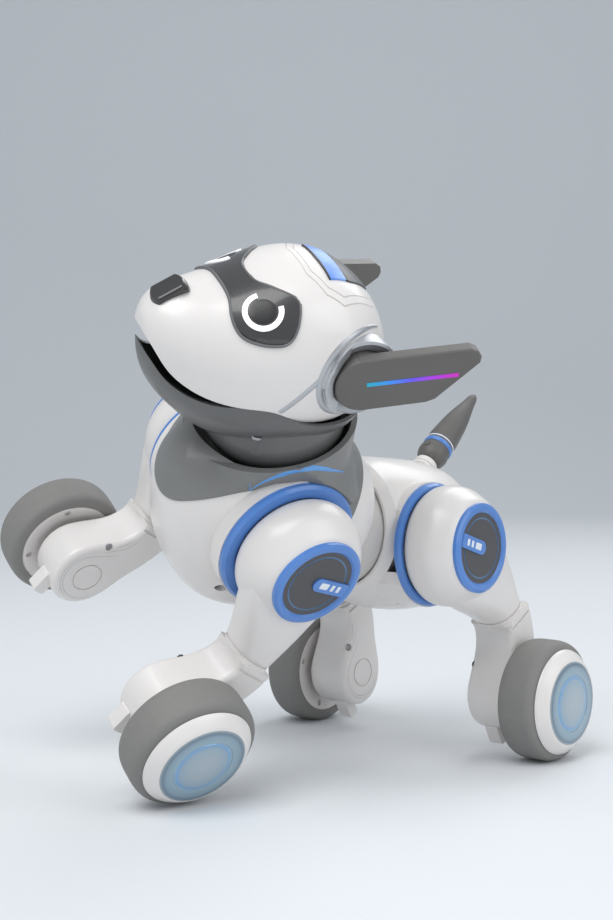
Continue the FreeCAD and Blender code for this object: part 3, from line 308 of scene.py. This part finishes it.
def wheel_lens(name, axes):
    """Blue grey wheel cap: pale in the middle, thin blue rings and a darker rim."""
    shader = plastic(name, PALE_BLUE, 0.18, mottle=0.03, spread=0.03, Coat_Weight=0.7, Coat_Roughness=0.06)
    radius = shader.radius(axes.at, axes)
    color = shader.ramp(radius * (1.0 / LENS_EDGE), (
        (0.00, (0.40, 0.47, 0.52)), (0.34, (0.36, 0.44, 0.50)), (0.56, (0.28, 0.40, 0.50)),
        (0.61, (0.16, 0.34, 0.60)), (0.655, (0.30, 0.42, 0.50)), (0.84, (0.24, 0.35, 0.43)),
        (0.93, (0.13, 0.20, 0.27)), (1.00, (0.38, 0.44, 0.47))))
    shader.set("Base Color", color)
    shader.glow(shader.mix(radius.band(LENS_GLOW, 0.15, 0.5), BLACK, (0.05, 0.16, 0.34)), 0.35)
    return shader.material


def tyre(name, axes):
    """Soft grey tyre: matt, finely grained, a touch of dust on its tread."""
    shader = plastic(name, TYRE_GREY, 0.66, grain=0.05 * MM, mottle=0.02, spread=0.04)
    tread = shader.radius(axes.at, axes).step(*TREAD)
    dust = tread * shader.noise(420.0, 5.0).step(0.35, 0.75)
    shader.set("Base Color", shader.mix(dust * 0.14, TYRE_GREY, TYRE_DUST))
    return shader.material


def ear_light(name, axes):
    """Light strip: cyan by the hub, through blue and violet to magenta at the tip."""
    shader = Shader(name, (0.1, 0.1, 0.4), 0.35)
    root, tip = EAR_SPAN
    place = (shader.along(axes.at, axes.y) - root) * (1.0 / (tip - root))
    color = shader.ramp(place, (
        (0.0, (0.01, 0.26, 0.40)), (0.22, (0.03, 0.18, 0.60)), (0.45, (0.08, 0.06, 0.58)),
        (0.72, (0.30, 0.02, 0.50)), (1.0, (0.42, 0.01, 0.34))))
    shader.set("Base Color", color)
    shader.glow(color, 0.6)
    return shader.material


def crown_window():
    """Display cover on the crown: a lit blue pane in front, a black frame bar, frosted dark behind."""
    shader = plastic("crown_window", (0.03, 0.03, 0.033), 0.38, Coat_Weight=0.12, Coat_Roughness=0.25,
                     Specular_IOR_Level=0.25)
    x = shader.along(HEAD.at, HEAD.x)
    y = shader.along(HEAD.at, HEAD.y)
    soft = 0.3
    pane = y.between(*PANE, soft)
    behind = y.step(FRAME_END, FRAME_END + soft)
    cells = (x * 2.1).math("SINE") * (y * 2.1).math("SINE") * 0.08 + 0.92
    blue = shader.mix(shader.noise(60.0).step(0.35, 0.7), (0.09, 0.24, 0.70), (0.30, 0.48, 0.85))
    dark = shader.mix(behind, (0.02, 0.02, 0.022), (0.075, 0.078, 0.085))
    shader.set("Base Color", shader.mix(pane * cells, dark, blue))
    shader.glow(shader.mix(pane, BLACK, (0.03, 0.09, 0.28)), 0.5)
    return shader.material


def brushed(name):
    """Silver coating brushed in circles about the ears' axis."""
    shader = Shader(name, SILVER, 0.34, Metallic=0.7)
    sockets = {"W": shader.radius(EAR_AXIS, HEAD) * 5.2, "Scale": 1.0, "Detail": 4.0}
    rings = shader.add("ShaderNodeTexNoise", {"noise_dimensions": "1D"}, sockets)
    shader.set("Roughness", rings * 0.20 + 0.26)
    shader.set("Base Color", shader.mix(rings, scaled(SILVER, 0.82), scaled(SILVER, 1.12)))
    shader.bump(rings, 0.03 * MM, 0.5)
    return shader.material


def steel():
    shader = Shader("screw_steel", STEEL, 0.34, Metallic=1.0)
    worn = shader.noise(900.0, 4.0)
    shader.set("Roughness", worn * 0.30 + 0.20)
    shader.bump(worn, 0.04 * MM, 0.5)
    return shader.material


def board():
    """Green board with copper runs."""
    shader = Shader("circuit_board", BOARD_GREEN, 0.38, Coat_Weight=0.3)
    sockets = {"Vector": shader.coords, "Scale": 260.0}
    runs = shader.add("ShaderNodeTexVoronoi", {"feature": "DISTANCE_TO_EDGE"}, sockets)
    shader.set("Base Color", shader.mix(runs.step(0.04, 0.10), (0.10, 0.28, 0.10), (0.02, 0.13, 0.05)))
    return shader.material


def eye_light():
    """White light ring, glowing a little unevenly."""
    shader = Shader("eye_light", (0.90, 0.90, 0.90), 0.35, Coat_Weight=0.3)
    shader.glow(shader.mix(shader.noise(60.0), (0.92, 0.94, 1.0), (1.0, 1.0, 1.0)), 0.45)
    return shader.material


MATERIALS = {
    "white_shell": white_shell(),
    "blue": satin("blue_plastic", BLUE, 0.30, Coat_Weight=0.35, Coat_Roughness=0.10),
    "dark": satin("dark_plastic", DARK_GREY, 0.46, grain=0.04 * MM),
    "collar": satin("grey_plastic", MID_GREY, 0.42, grain=0.04 * MM, Coat_Weight=0.10),
    "jaw": satin("jaw_plastic", JAW_GREY, 0.36, grain=0.03 * MM, Coat_Weight=0.15),
    "visor": satin("visor_gloss", VISOR_BLACK, 0.26, mottle=0.10, Coat_Weight=0.55, Coat_Roughness=0.10),
    "pupil": satin("pupil_gloss", PUPIL_BLACK, 0.40, mottle=0.10, Coat_Weight=0.15, Coat_Roughness=0.20),
    "nose": satin("nose_gloss", NOSE_BLACK, 0.30, mottle=0.10, Coat_Weight=0.5, Coat_Roughness=0.10),
    "drum": satin("light_band", DRUM_GREY, 0.36, Coat_Weight=0.15),
    # grey lines of painted shade for the shank's engraved grooves
    "trim": satin("groove_shade_paint", GROOVE_SHADE_GREY, 0.40),
    "nylon": satin("gearbox_nylon", NYLON, 0.50),
    "wrap": satin("battery_wrap", WRAP_BLUE, 0.28),
    "jack": satin("jack_plastic", JACK_BLACK, 0.30),
    "stripe": satin("stripe_paint", STRIPE_BLUE, 0.28, Coat_Weight=0.4),
    "marks": satin("mark_paint", MARK_WHITE, 0.40),
    # painted shade inside the open mouth, on a near-black sheet
    "mouth_shade": satin("painted_mouth_shade", MOUTH_SHADE_BLACK, 0.60),
    "edge": satin("visor_edge", EDGE_GREY, 0.34),
    "silver": brushed("silver_line"),
    "bezel": brushed("silver_trim"),
    "steel": steel(),
    "window": crown_window(),
    "board": board(),
    "eye": eye_light(),
}


# ------------------------------------------------------------------ surfaces
def placed(axes, x, y, z):
    """Arrays of local millimetres as an array of points in the part's frame."""
    steps = [np.multiply.outer(np.asarray(values) * MM, np.array(way))
             for values, way in ((x, axes.x), (y, axes.y), (z, axes.z))]
    return np.array(axes.at) + steps[0] + steps[1] + steps[2]


def circle(count):
    """Angles of one turn without its end."""
    return np.linspace(0.0, TURN, count + 1)[:-1]


def grid_piece(name, points, material, body, closed=False):
    """A mesh from a grid of points, rows along u and columns along v; closed joins last row to first."""
    points = np.asarray(points, float)
    rows, columns = points.shape[:2]
    index = np.arange(rows * columns).reshape(rows, columns)
    if closed:
        index = np.vstack([index, index[:1]])
    corners = (index[:-1, :-1], index[:-1, 1:], index[1:, 1:], index[1:, :-1])
    faces = np.stack(corners, axis=-1).reshape(-1, 4)
    mesh = bpy.data.meshes.new(name)
    mesh.from_pydata(points.reshape(-1, 3).tolist(), [], faces.tolist())
    mesh.validate()
    mesh.update()
    mesh.polygons.foreach_set("use_smooth", [True] * len(mesh.polygons))
    piece = bpy.data.objects.new(name, mesh)
    bpy.context.scene.collection.objects.link(piece)
    mesh.materials.append(material)
    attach(piece, body)
    return piece


def surface_tree(*names):
    """Ray-casting tree over the solids of these CAD nodes."""
    vertices = []
    polygons = []
    for name in names:
        mesh = NODES[name].data
        base = len(vertices)
        vertices += [tuple(v.co) for v in mesh.vertices]
        polygons += [[base + i for i in p.vertices] for p in mesh.polygons]
    return BVHTree.FromPolygons(vertices, polygons)


def smooth_path(points, count):
    """Catmull-Rom line through a few given points: count samples, even in parameter."""
    points = np.asarray(points, float)
    ends = np.vstack([2 * points[0] - points[1], points, 2 * points[-1] - points[-2]])
    place = np.linspace(0.0, len(points) - 1.0, count)
    k = np.minimum(place.astype(int), len(points) - 2)
    f = (place - k)[:, None]
    a, b, c, d = (ends[k + i] for i in range(4))
    square = (2 * a - 5 * b + 4 * c - d) * f ** 2
    cube = (3 * b - a - 3 * c + d) * f ** 3
    return 0.5 * (2 * b + (c - a) * f + square + cube)


def laid(tree, start, direction, reach=0.12):
    """Where a ray from outside first meets the solids: (place, outward normal)."""
    place, normal, _, _ = tree.ray_cast(Vector(start), Vector(direction), reach)
    if place is None:
        place, normal, _, _ = tree.find_nearest(Vector(start))
    if normal.dot(Vector(direction)) > 0.0:
        normal = -normal
    return place, normal


def unit(vectors):
    return vectors / (np.linalg.norm(vectors, axis=-1, keepdims=True) + 1e-12)


STAND_OFF = 20.0 * MM       # how far outside a path starts to be cast
PROBE = 4.0 * MM            # how far above the surface a cross-section starts to be cast
PROBE_REACH = 20.0 * MM
EDGE_SINK = 0.1 * MM        # how far a skin's edges go under the surface


def ribbon(name, tree, path, widths, inward, lift, material, body, across=5):
    """A thin skin on a solid: a line of places, each cast inward onto the surface, with a crowned
    cross-section whose height is lift times 1 - s^2 across the width (s from -1 to 1) and sunk edges."""
    cast = [laid(tree, Vector(point) - inward * STAND_OFF, inward) for point in path]
    places = np.array([place for place, _ in cast])
    normals = np.array([normal for _, normal in cast])
    ends = np.vstack([places[:1], places, places[-1:]])
    side = unit(np.cross(normals, unit(ends[2:] - ends[:-2])))
    s = np.linspace(-1.0, 1.0, across)
    reach = np.multiply.outer(np.asarray(widths), s)[:, :, None]
    starts = places[:, None] + side[:, None] * reach + normals[:, None] * PROBE
    spots = np.array([[laid(tree, start, -Vector(normal), PROBE_REACH)[0] for start in row]
                      for row, normal in zip(starts, normals)])
    height = lift * (1.0 - s * s) - EDGE_SINK * abs(s) ** 8
    return grid_piece(name, spots + normals[:, None] * height[None, :, None], material, body)


def ring_band(name, centre, direction, radius, half, crown, material, body):
    """Closed band about an axis: radius + crown * (1 - |s|^3), s across from -1 to 1, with edges sunk by
    0.6 mm * |s|^9."""
    side = direction.orthogonal().normalized()
    other = direction.cross(side)
    angle = circle(72)
    s = np.linspace(-1.0, 1.0, 9)
    spoke = np.multiply.outer(np.cos(angle), np.array(side))
    spoke = spoke + np.multiply.outer(np.sin(angle), np.array(other))
    size = radius + crown * (1.0 - abs(s) ** 3) - 0.6 * MM * abs(s) ** 9
    across = np.multiply.outer(s * half, np.array(direction))
    points = np.array(centre) + across[None, :] + spoke[:, None] * size[None, :, None]
    return grid_piece(name, points, material, body, closed=True)


# ------------------------------------------------------------------ carried-over CAD nodes
def paint(node, material, sharp_deg=32.0):
    """Give a CAD node its material and smooth shading, with creases kept sharper than the angle."""
    piece = NODES[node]
    mesh = piece.data
    mesh.materials.clear()
    mesh.materials.append(material)
    mesh.polygons.foreach_set("use_smooth", [True] * len(mesh.polygons))
    weld = piece.modifiers.new("weld", "WELD")
    weld.merge_threshold = 0.01 * MM
    smooth_by_angle(piece, sharp_deg)


def smooth_by_angle(piece, degrees):
    """Geometry nodes: mark edges steeper than the angle as sharp and shade the rest smooth."""
    key = "smooth_%d" % degrees
    tree = bpy.data.node_groups.get(key)
    if tree is None:
        tree = bpy.data.node_groups.new(key, "GeometryNodeTree")
        tree.interface.new_socket("Geometry", in_out="INPUT", socket_type="NodeSocketGeometry")
        tree.interface.new_socket("Geometry", in_out="OUTPUT", socket_type="NodeSocketGeometry")
        start = tree.nodes.new("NodeGroupInput")
        end = tree.nodes.new("NodeGroupOutput")
        angle = tree.nodes.new("GeometryNodeInputMeshEdgeAngle")
        limit = tree.nodes.new("FunctionNodeCompare")
        limit.operation = "LESS_EQUAL"
        limit.inputs[1].default_value = math.radians(degrees)
        tree.links.new(angle.outputs["Unsigned Angle"], limit.inputs[0])
        faces = tree.nodes.new("GeometryNodeSetShadeSmooth")
        edges = tree.nodes.new("GeometryNodeSetShadeSmooth")
        edges.domain = "EDGE"
        tree.links.new(start.outputs[0], faces.inputs[0])
        tree.links.new(faces.outputs[0], edges.inputs[0])
        tree.links.new(limit.outputs[0], edges.inputs["Shade Smooth"])
        tree.links.new(edges.outputs[0], end.inputs[0])
    modifier = piece.modifiers.new("smooth", "NODES")
    modifier.node_group = tree


PAINTS = {
    "blue": ("hip_rings", "shoulder_rings"),
    "dark": ("tail", "ear_left", "ear_right", "power_switch"),
    "collar": ("collar",),
    "jaw": ("jaw", "neck_post"),
    "visor": ("visor",),
    "nose": ("nose",),
    "drum": ("waist_drum",),
    "nylon": ("gearbox_set", "front_gearbox_set"),
    "wrap": ("battery_pack",),
    "jack": ("charge_jack",),
    "steel": ("rear_screws", "front_screws", "chin_screws"),
    "window": ("crown_window",),
    "board": ("rear_board",),
    "eye": ("eye_rings",),
    "white_shell": ("rear_shell_upper", "rear_shell_lower", "belly_cover", "waist_rim", "front_shell_upper",
                    "front_shell_lower", "head_shell"),
}
for key, names in PAINTS.items():
    for name in names:
        paint(name, MATERIALS[key])
paint("ear_bezels", MATERIALS["bezel"], 25.0)

for tag in LEGS:
    wheel_axes = Axes(joint_place("wheel_spin_" + tag), LEG[tag].x, LEG[tag].z)
    for node in ("thigh_", "shank_", "hub_"):
        paint(node + tag, MATERIALS["white_shell"])
    paint("disc_ring_" + tag, MATERIALS["blue"])
    paint("disc_face_" + tag, disc_plate("disc_plate_" + tag, LEG[tag]))
    paint("tyre_" + tag, tyre("tyre_rubber_" + tag, wheel_axes), 40.0)
    paint("lens_" + tag, wheel_lens("wheel_lens_" + tag, wheel_axes), 25.0)

for side in ("left", "right"):
    node = "ear_light_" + side
    root = joint_place("ear_lift_" + side)
    corners = [Vector(v.co) for v in NODES[node].data.vertices]
    tip = max(corners, key=lambda corner: (corner - root).length)
    strip_axes = Axes(root, HEAD.x, HEAD.x.cross(tip - root))
    paint(node, ear_light(node, strip_axes))


# ------------------------------------------------------------------ new pieces; lengths in mm
def collar_stripe(side):
    """Blue flash on the collar's flank: a tapering line with one short barb above it."""
    tree = surface_tree("collar")
    line = ((30.4, -99.0, 2.6), (33.0, -98.3, 10.3), (35.3, -96.3, 16.4), (37.4, -93.6, 22.0),
            (39.0, -90.5, 26.1), (39.2, -84.9, 29.7), (37.7, -75.1, 32.1), (33.2, -61.6, 33.6))
    line_widths = (0.25, 0.9, 1.5, 1.9, 1.9, 1.5, 1.0, 0.25)
    barb = ((38.8, -88.4, 29.7), (39.0, -85.4, 30.5), (38.8, -81.5, 31.4), (37.8, -76.5, 32.2))
    barb_widths = (0.15, 0.6, 0.9, 0.9)
    inward = FRONT.turned((-side * 0.85, 0.52, -0.1)).normalized()
    for name, points, widths, count in (("flash", line, line_widths, 60), ("barb", barb, barb_widths, 24)):
        path = [FRONT.point(side * x, y, z) for x, y, z in smooth_path(points, count)]
        wide = smooth_path([(width,) for width in widths], count)[:, 0] * MM
        label = "collar_%s_%s" % (name, side_name(side))
        ribbon(label, tree, path, wide, inward, 0.22 * MM, MATERIALS["stripe"], "front_torso")


def cheek_trim(side):
    """Silver trim on the cheek: a band round the ear's bezel, an arc about the ear's axis, and a second band
    from its front straight down to the corner of the mouth."""
    tree = surface_tree("head_shell", "jaw", "ear_bezels")
    outside = 60.0
    band_radius = 20.0
    turn = np.radians(np.linspace(62.0, 262.0, 90))
    arc = np.stack([EAR_Y + band_radius * np.cos(turn), EAR_Z + band_radius * np.sin(turn)], axis=1)
    arc_widths = 1.9 * np.sin(np.linspace(0.12, math.pi - 0.12, 90)) ** 0.5
    strap = np.linspace((-3.0, 53.0), (-16.8, 35.2), 60)
    strap_widths = np.full(60, 1.5)
    for name, line, widths in (("bezel_band", arc, arc_widths), ("cheek_band", strap, strap_widths)):
        path = placed(HEAD, np.full(len(line), side * outside), line[:, 0], line[:, 1])
        ribbon("%s_%s" % (name, side_name(side)), tree, path, widths * MM, HEAD.x * -side, 0.5 * MM,
               MATERIALS["silver"], "head", across=7)


def visor_edge():
    """Raised bead round the mask: a closed smooth line laid from above onto the mask and the crown."""
    half = [(0.0, -38.4), (12.0, -38.4), (20.5, -39.5), (26.0, -38.2), (29.8, -34.3), (33.4, -26.8),
            (35.2, -18.8), (32.8, -14.6), (26.6, -12.3), (22.4, -13.6), (17.0, -18.8), (8.6, -25.4),
            (0.0, -26.8)]
    above = 100.0
    loop = half + [(-x, y) for x, y in half[-2:0:-1]]
    loop = smooth_path(loop[-2:] + loop + loop[:3], 12 * (len(loop) + 5))[24:-24]
    path = placed(HEAD, loop[:, 0], loop[:, 1], np.full(len(loop), above))
    widths = np.full(len(path), 0.75 * MM)
    ribbon("visor_edge", surface_tree("head_shell"), path, widths, -HEAD.z, 1.2 * MM, MATERIALS["edge"],
           "head", across=7)


def painted_mouth_shade():
    """Painted shade in the open mouth: a near-black sheet across the head just above the lip line, standing
    in for the shade inside the head.
    At each depth y it spans the shell's inner width, and its height is the lip's height plus a shallow vault
    1 - s^2."""
    depth = np.array([-70.5, -68.5, -66.0, -63.5, -60.0, -56.0, -51.0, -46.0, -40.0, -34.0, -28.0])[:, None]
    height = np.array([57.6, 55.2, 52.0, 48.4, 45.2, 42.4, 40.2, 38.6, 37.6, 37.2, 37.0])[:, None]
    wide = np.array([4.0, 8.5, 12.5, 15.5, 18.8, 21.8, 24.4, 26.8, 29.0, 30.8, 32.2])[:, None]
    s = np.linspace(-1.0, 1.0, 25)[None, :]
    points = placed(HEAD, wide * s, depth + 0.0 * s, height + 0.2 * wide * (1.0 - s ** 2))
    grid_piece("painted_mouth_shade", points, MATERIALS["mouth_shade"], "head")


def pupil(side):
    """Dark disc laid on the mask inside each light ring: a polar grid cast onto the mask, whose height is
    0.25 mm * (1 - r^6), r from the middle to the rim, less a small sink."""
    tree = surface_tree("visor")
    reach = 5.9
    look = HEAD.turned(Vector((side * 0.62, -0.35, 0.70)).normalized())
    across = look.orthogonal()
    face = Axes(HEAD.point(side * 23.4, -27.2, 76.4) + look * (10.0 * MM), across, look)
    r = np.linspace(0.03, 1.0, 9)
    turn, radius = np.meshgrid(circle(48), r * reach, indexing="ij")
    starts = placed(face, radius * np.cos(turn), radius * np.sin(turn), 0.0 * turn)
    spots = np.array([[laid(tree, start, -look, 30.0 * MM)[0] for start in row] for row in starts])
    height = (0.25 * (1.0 - r ** 6) - 0.04) * MM
    points = spots + np.multiply.outer(height, np.array(look))[None, :]
    grid_piece("pupil_" + side_name(side), points, MATERIALS["pupil"], "head", closed=True)


TAB_TURN = {"f": 14.0, "r": 134.0}      # which way a disc's tab points, in degrees from the leg's y
TAB_FACE = 28.1                         # the tab's outer face, out from the flank
BARS = ((1.2, 5.2), (8.0, 2.0), (11.6, 2.0))


def disc_marks(tag):
    """Three plain raised bars along the tab of each joint disc, u along and s across: a low crown whose
    height is (1 - s^6)(1 - (2u - 1)^6)."""
    turn = math.radians(TAB_TURN[tag[0]])
    u = np.linspace(0.0, 1.0, 9)[:, None]
    s = np.linspace(-1.0, 1.0, 9)[None, :]
    x = TAB_FACE + 0.25 * (1.0 - s ** 6) * (1.0 - (2.0 * u - 1.0) ** 6) - 0.03
    for bar, (start, length) in enumerate(BARS):
        along = start + length * u
        across = 1.7 * s
        y = along * math.cos(turn) - across * math.sin(turn)
        z = along * math.sin(turn) + across * math.cos(turn)
        label = "disc_bar_%s_%d" % (tag, bar)
        grid_piece(label, placed(LEG[tag], x, y, z), MATERIALS["marks"], "leg_" + tag)


def tail_bands():
    """Blue band in the tail's neck with a pale line above it."""
    root = joint_place("tail_wag")
    low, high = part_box("tail")
    middle = Vector((0.5 * (low[0] + high[0]), root.y, root.z))
    direction = joint_axis("tail_wag").cross(Vector((1.0, 0.0, 0.0))).normalized()
    if direction.z < 0.0:
        direction = -direction
    for name, place, radius, half, crown, key, slot in (
            ("tail_band", 5.4, 7.95, 1.5, 0.55, "blue", "blue_plastic"),
            ("tail_line", 8.2, 8.12, 0.45, 0.15, "marks", "eye_light")):
        ring_band(name, middle + direction * (place * MM), direction, radius * MM, half * MM, crown * MM,
                  MATERIALS[key], "tail")


SCREW_Y = -3.0              # the shank's screw in the leg's frame
SCREW_Z = -71.6
SCREW_FLOOR = 1.5
SCREW_RADIUS = 1.8


def shank_screw(tag):
    """Sunk screw head on the shank's inner face: a polar grid with a crown of 1 - r^4 whose middle dips in
    a cross."""
    turn, reach = np.meshgrid(circle(48), np.linspace(0.02, SCREW_RADIUS, 14), indexing="ij")
    y = reach * np.cos(turn)
    z = reach * np.sin(turn)
    cross = (np.minimum(np.abs(y), np.abs(z)) < 0.26) & (reach < 1.2)
    height = 0.6 * (1.0 - (reach / SCREW_RADIUS) ** 4) - np.where(cross, 0.5, 0.0)
    points = placed(LEG[tag], SCREW_FLOOR - height, y + SCREW_Y, z + SCREW_Z)
    grid_piece("shank_screw_" + tag, points, MATERIALS["steel"], "leg_" + tag, closed=True)


AXLE_Z = -90.9              # the wheel's axle in the leg's frame


def shank_arc(radius, start, end, count):
    """Points of an arc about the axle, in the leg's y and z."""
    turn = np.radians(np.linspace(start, end, count))
    return [(radius * math.cos(a), AXLE_Z + radius * math.sin(a)) for a in turn]


SHANK_LINES = {
    "inner": shank_arc(13.0, -25.0, -245.0, 12) + [(-1.8, -77.2), (2.4, -74.7), (5.7, -72.1)],
    "outer": shank_arc(14.4, -100.0, -212.0, 8),
    "limb_low": [(-3.6, -75.2), (1.2, -71.9), (6.4, -67.1), (8.8, -61.5)],
    "limb_high": [(0.6, -70.0), (3.6, -66.6), (5.6, -62.0)],
}


def shank_contours(tag):
    """Painted shade of the engraved contour grooves round the shank's boss: thin grey lines, arcs about the
    axle that run on into the limb, laid on the inner face. Their half width grows from 0.05 to 0.32 mm as
    sin^0.35 along the line."""
    axes = LEG[tag]
    tree = surface_tree("shank_" + tag)
    for label, points in SHANK_LINES.items():
        line = smooth_path(points, 12 * len(points))
        path = placed(axes, np.full(len(line), -0.5), line[:, 0], line[:, 1])
        taper = np.sin(np.linspace(0.0, math.pi, len(line))) ** 0.35
        # grey ribbon: painted shade of an engraved groove
        ribbon("shank_%s_%s" % (label, tag), tree, path, (0.05 + 0.27 * taper) * MM, axes.x, 0.03 * MM,
               MATERIALS["trim"], "leg_" + tag, across=3)


for side in (1.0, -1.0):
    collar_stripe(side)
    cheek_trim(side)
    pupil(side)
for tag in LEGS:
    disc_marks(tag)
    shank_screw(tag)
    shank_contours(tag)
tail_bands()
visor_edge()
# near-black sheet of painted shade in the open mouth
painted_mouth_shade()


# ------------------------------------------------------------------ floor, light and camera; lengths in m
CAMERA_AZ = math.radians(40.65)
CAMERA_EL = math.radians(1.98)
CAMERA_DISTANCE = 0.73648
AIM = Vector((0.00657, -0.00098, 0.15266))
LENS_MM = 57.78
SENSOR_MM = 36.0
FLOOR_FRONT = 2.2
FLOOR_BACK = 2.6
FLOOR_BEND = 0.9
FLOOR_TOP = 3.4
FLOOR_HALF_WIDTH = 4.0


def compass(azimuth, elevation):
    """Direction at an azimuth from -y towards +x and an elevation above the floor."""
    flat = math.cos(elevation)
    return Vector((math.sin(azimuth) * flat, -math.cos(azimuth) * flat, math.sin(elevation)))


def backdrop():
    """Floor that sweeps up behind the object in one curve: depth against height, extruded sideways."""
    bend_at = FLOOR_BACK - FLOOR_BEND
    line = [(-FLOOR_FRONT, 0.0), (bend_at, 0.0)]
    line += [(bend_at + FLOOR_BEND * math.sin(a), FLOOR_BEND - FLOOR_BEND * math.cos(a))
             for a in np.linspace(0.0, 0.5 * math.pi, 25)[1:]]
    line += [(FLOOR_BACK, FLOOR_TOP)]
    sight = -compass(CAMERA_AZ, 0.0)
    side = Vector((math.cos(CAMERA_AZ), math.sin(CAMERA_AZ), 0.0))
    vertices = []
    for depth, height in line:
        for wide in (-FLOOR_HALF_WIDTH, FLOOR_HALF_WIDTH):
            vertices.append(tuple(sight * depth + side * wide + Vector((0.0, 0.0, height))))
    faces = [(2 * i, 2 * i + 2, 2 * i + 3, 2 * i + 1) for i in range(len(line) - 1)]
    mesh = bpy.data.meshes.new("backdrop")
    mesh.from_pydata(vertices, [], faces)
    mesh.polygons.foreach_set("use_smooth", [True] * len(faces))
    piece = bpy.data.objects.new("backdrop", mesh)
    bpy.context.scene.collection.objects.link(piece)
    mesh.materials.append(Shader("backdrop", (0.78, 0.80, 0.82), 0.85).material)


def aimed(name, data, azimuth, elevation, distance):
    """An object that looks at AIM from an azimuth, elevation and distance."""
    away = compass(azimuth, elevation)
    piece = bpy.data.objects.new(name, data)
    bpy.context.scene.collection.objects.link(piece)
    piece.location = AIM + away * distance
    piece.rotation_euler = away.to_track_quat("Z", "Y").to_euler()
    return piece


def area_light(name, azimuth, elevation, distance, size, power):
    """A square soft light aimed at the middle of the object; azimuth in radians from the camera's."""
    data = bpy.data.lights.new(name, "AREA")
    data.size = size
    data.energy = power
    aimed(name, data, CAMERA_AZ + azimuth, elevation, distance)


camera_data = bpy.data.cameras.new("camera")
camera_data.sensor_width = SENSOR_MM
camera_data.lens = LENS_MM
camera_data.clip_start = 0.01
bpy.context.scene.camera = aimed("camera", camera_data, CAMERA_AZ, CAMERA_EL, CAMERA_DISTANCE)

backdrop()
area_light("key", -0.55, 0.95, 1.5, 1.1, 14.8)
area_light("fill", 1.0, 0.45, 1.7, 1.3, 8.2)
area_light("rim", 2.6, 0.8, 1.6, 0.9, 6.5)
world = bpy.data.worlds.new("world")
world.use_nodes = True
sky = world.node_tree.nodes["Background"]
sky.inputs["Color"].default_value = (0.80, 0.86, 0.92, 1.0)
sky.inputs["Strength"].default_value = 0.50
bpy.context.scene.world = world
bpy.context.scene.view_settings.view_transform = "Standard"
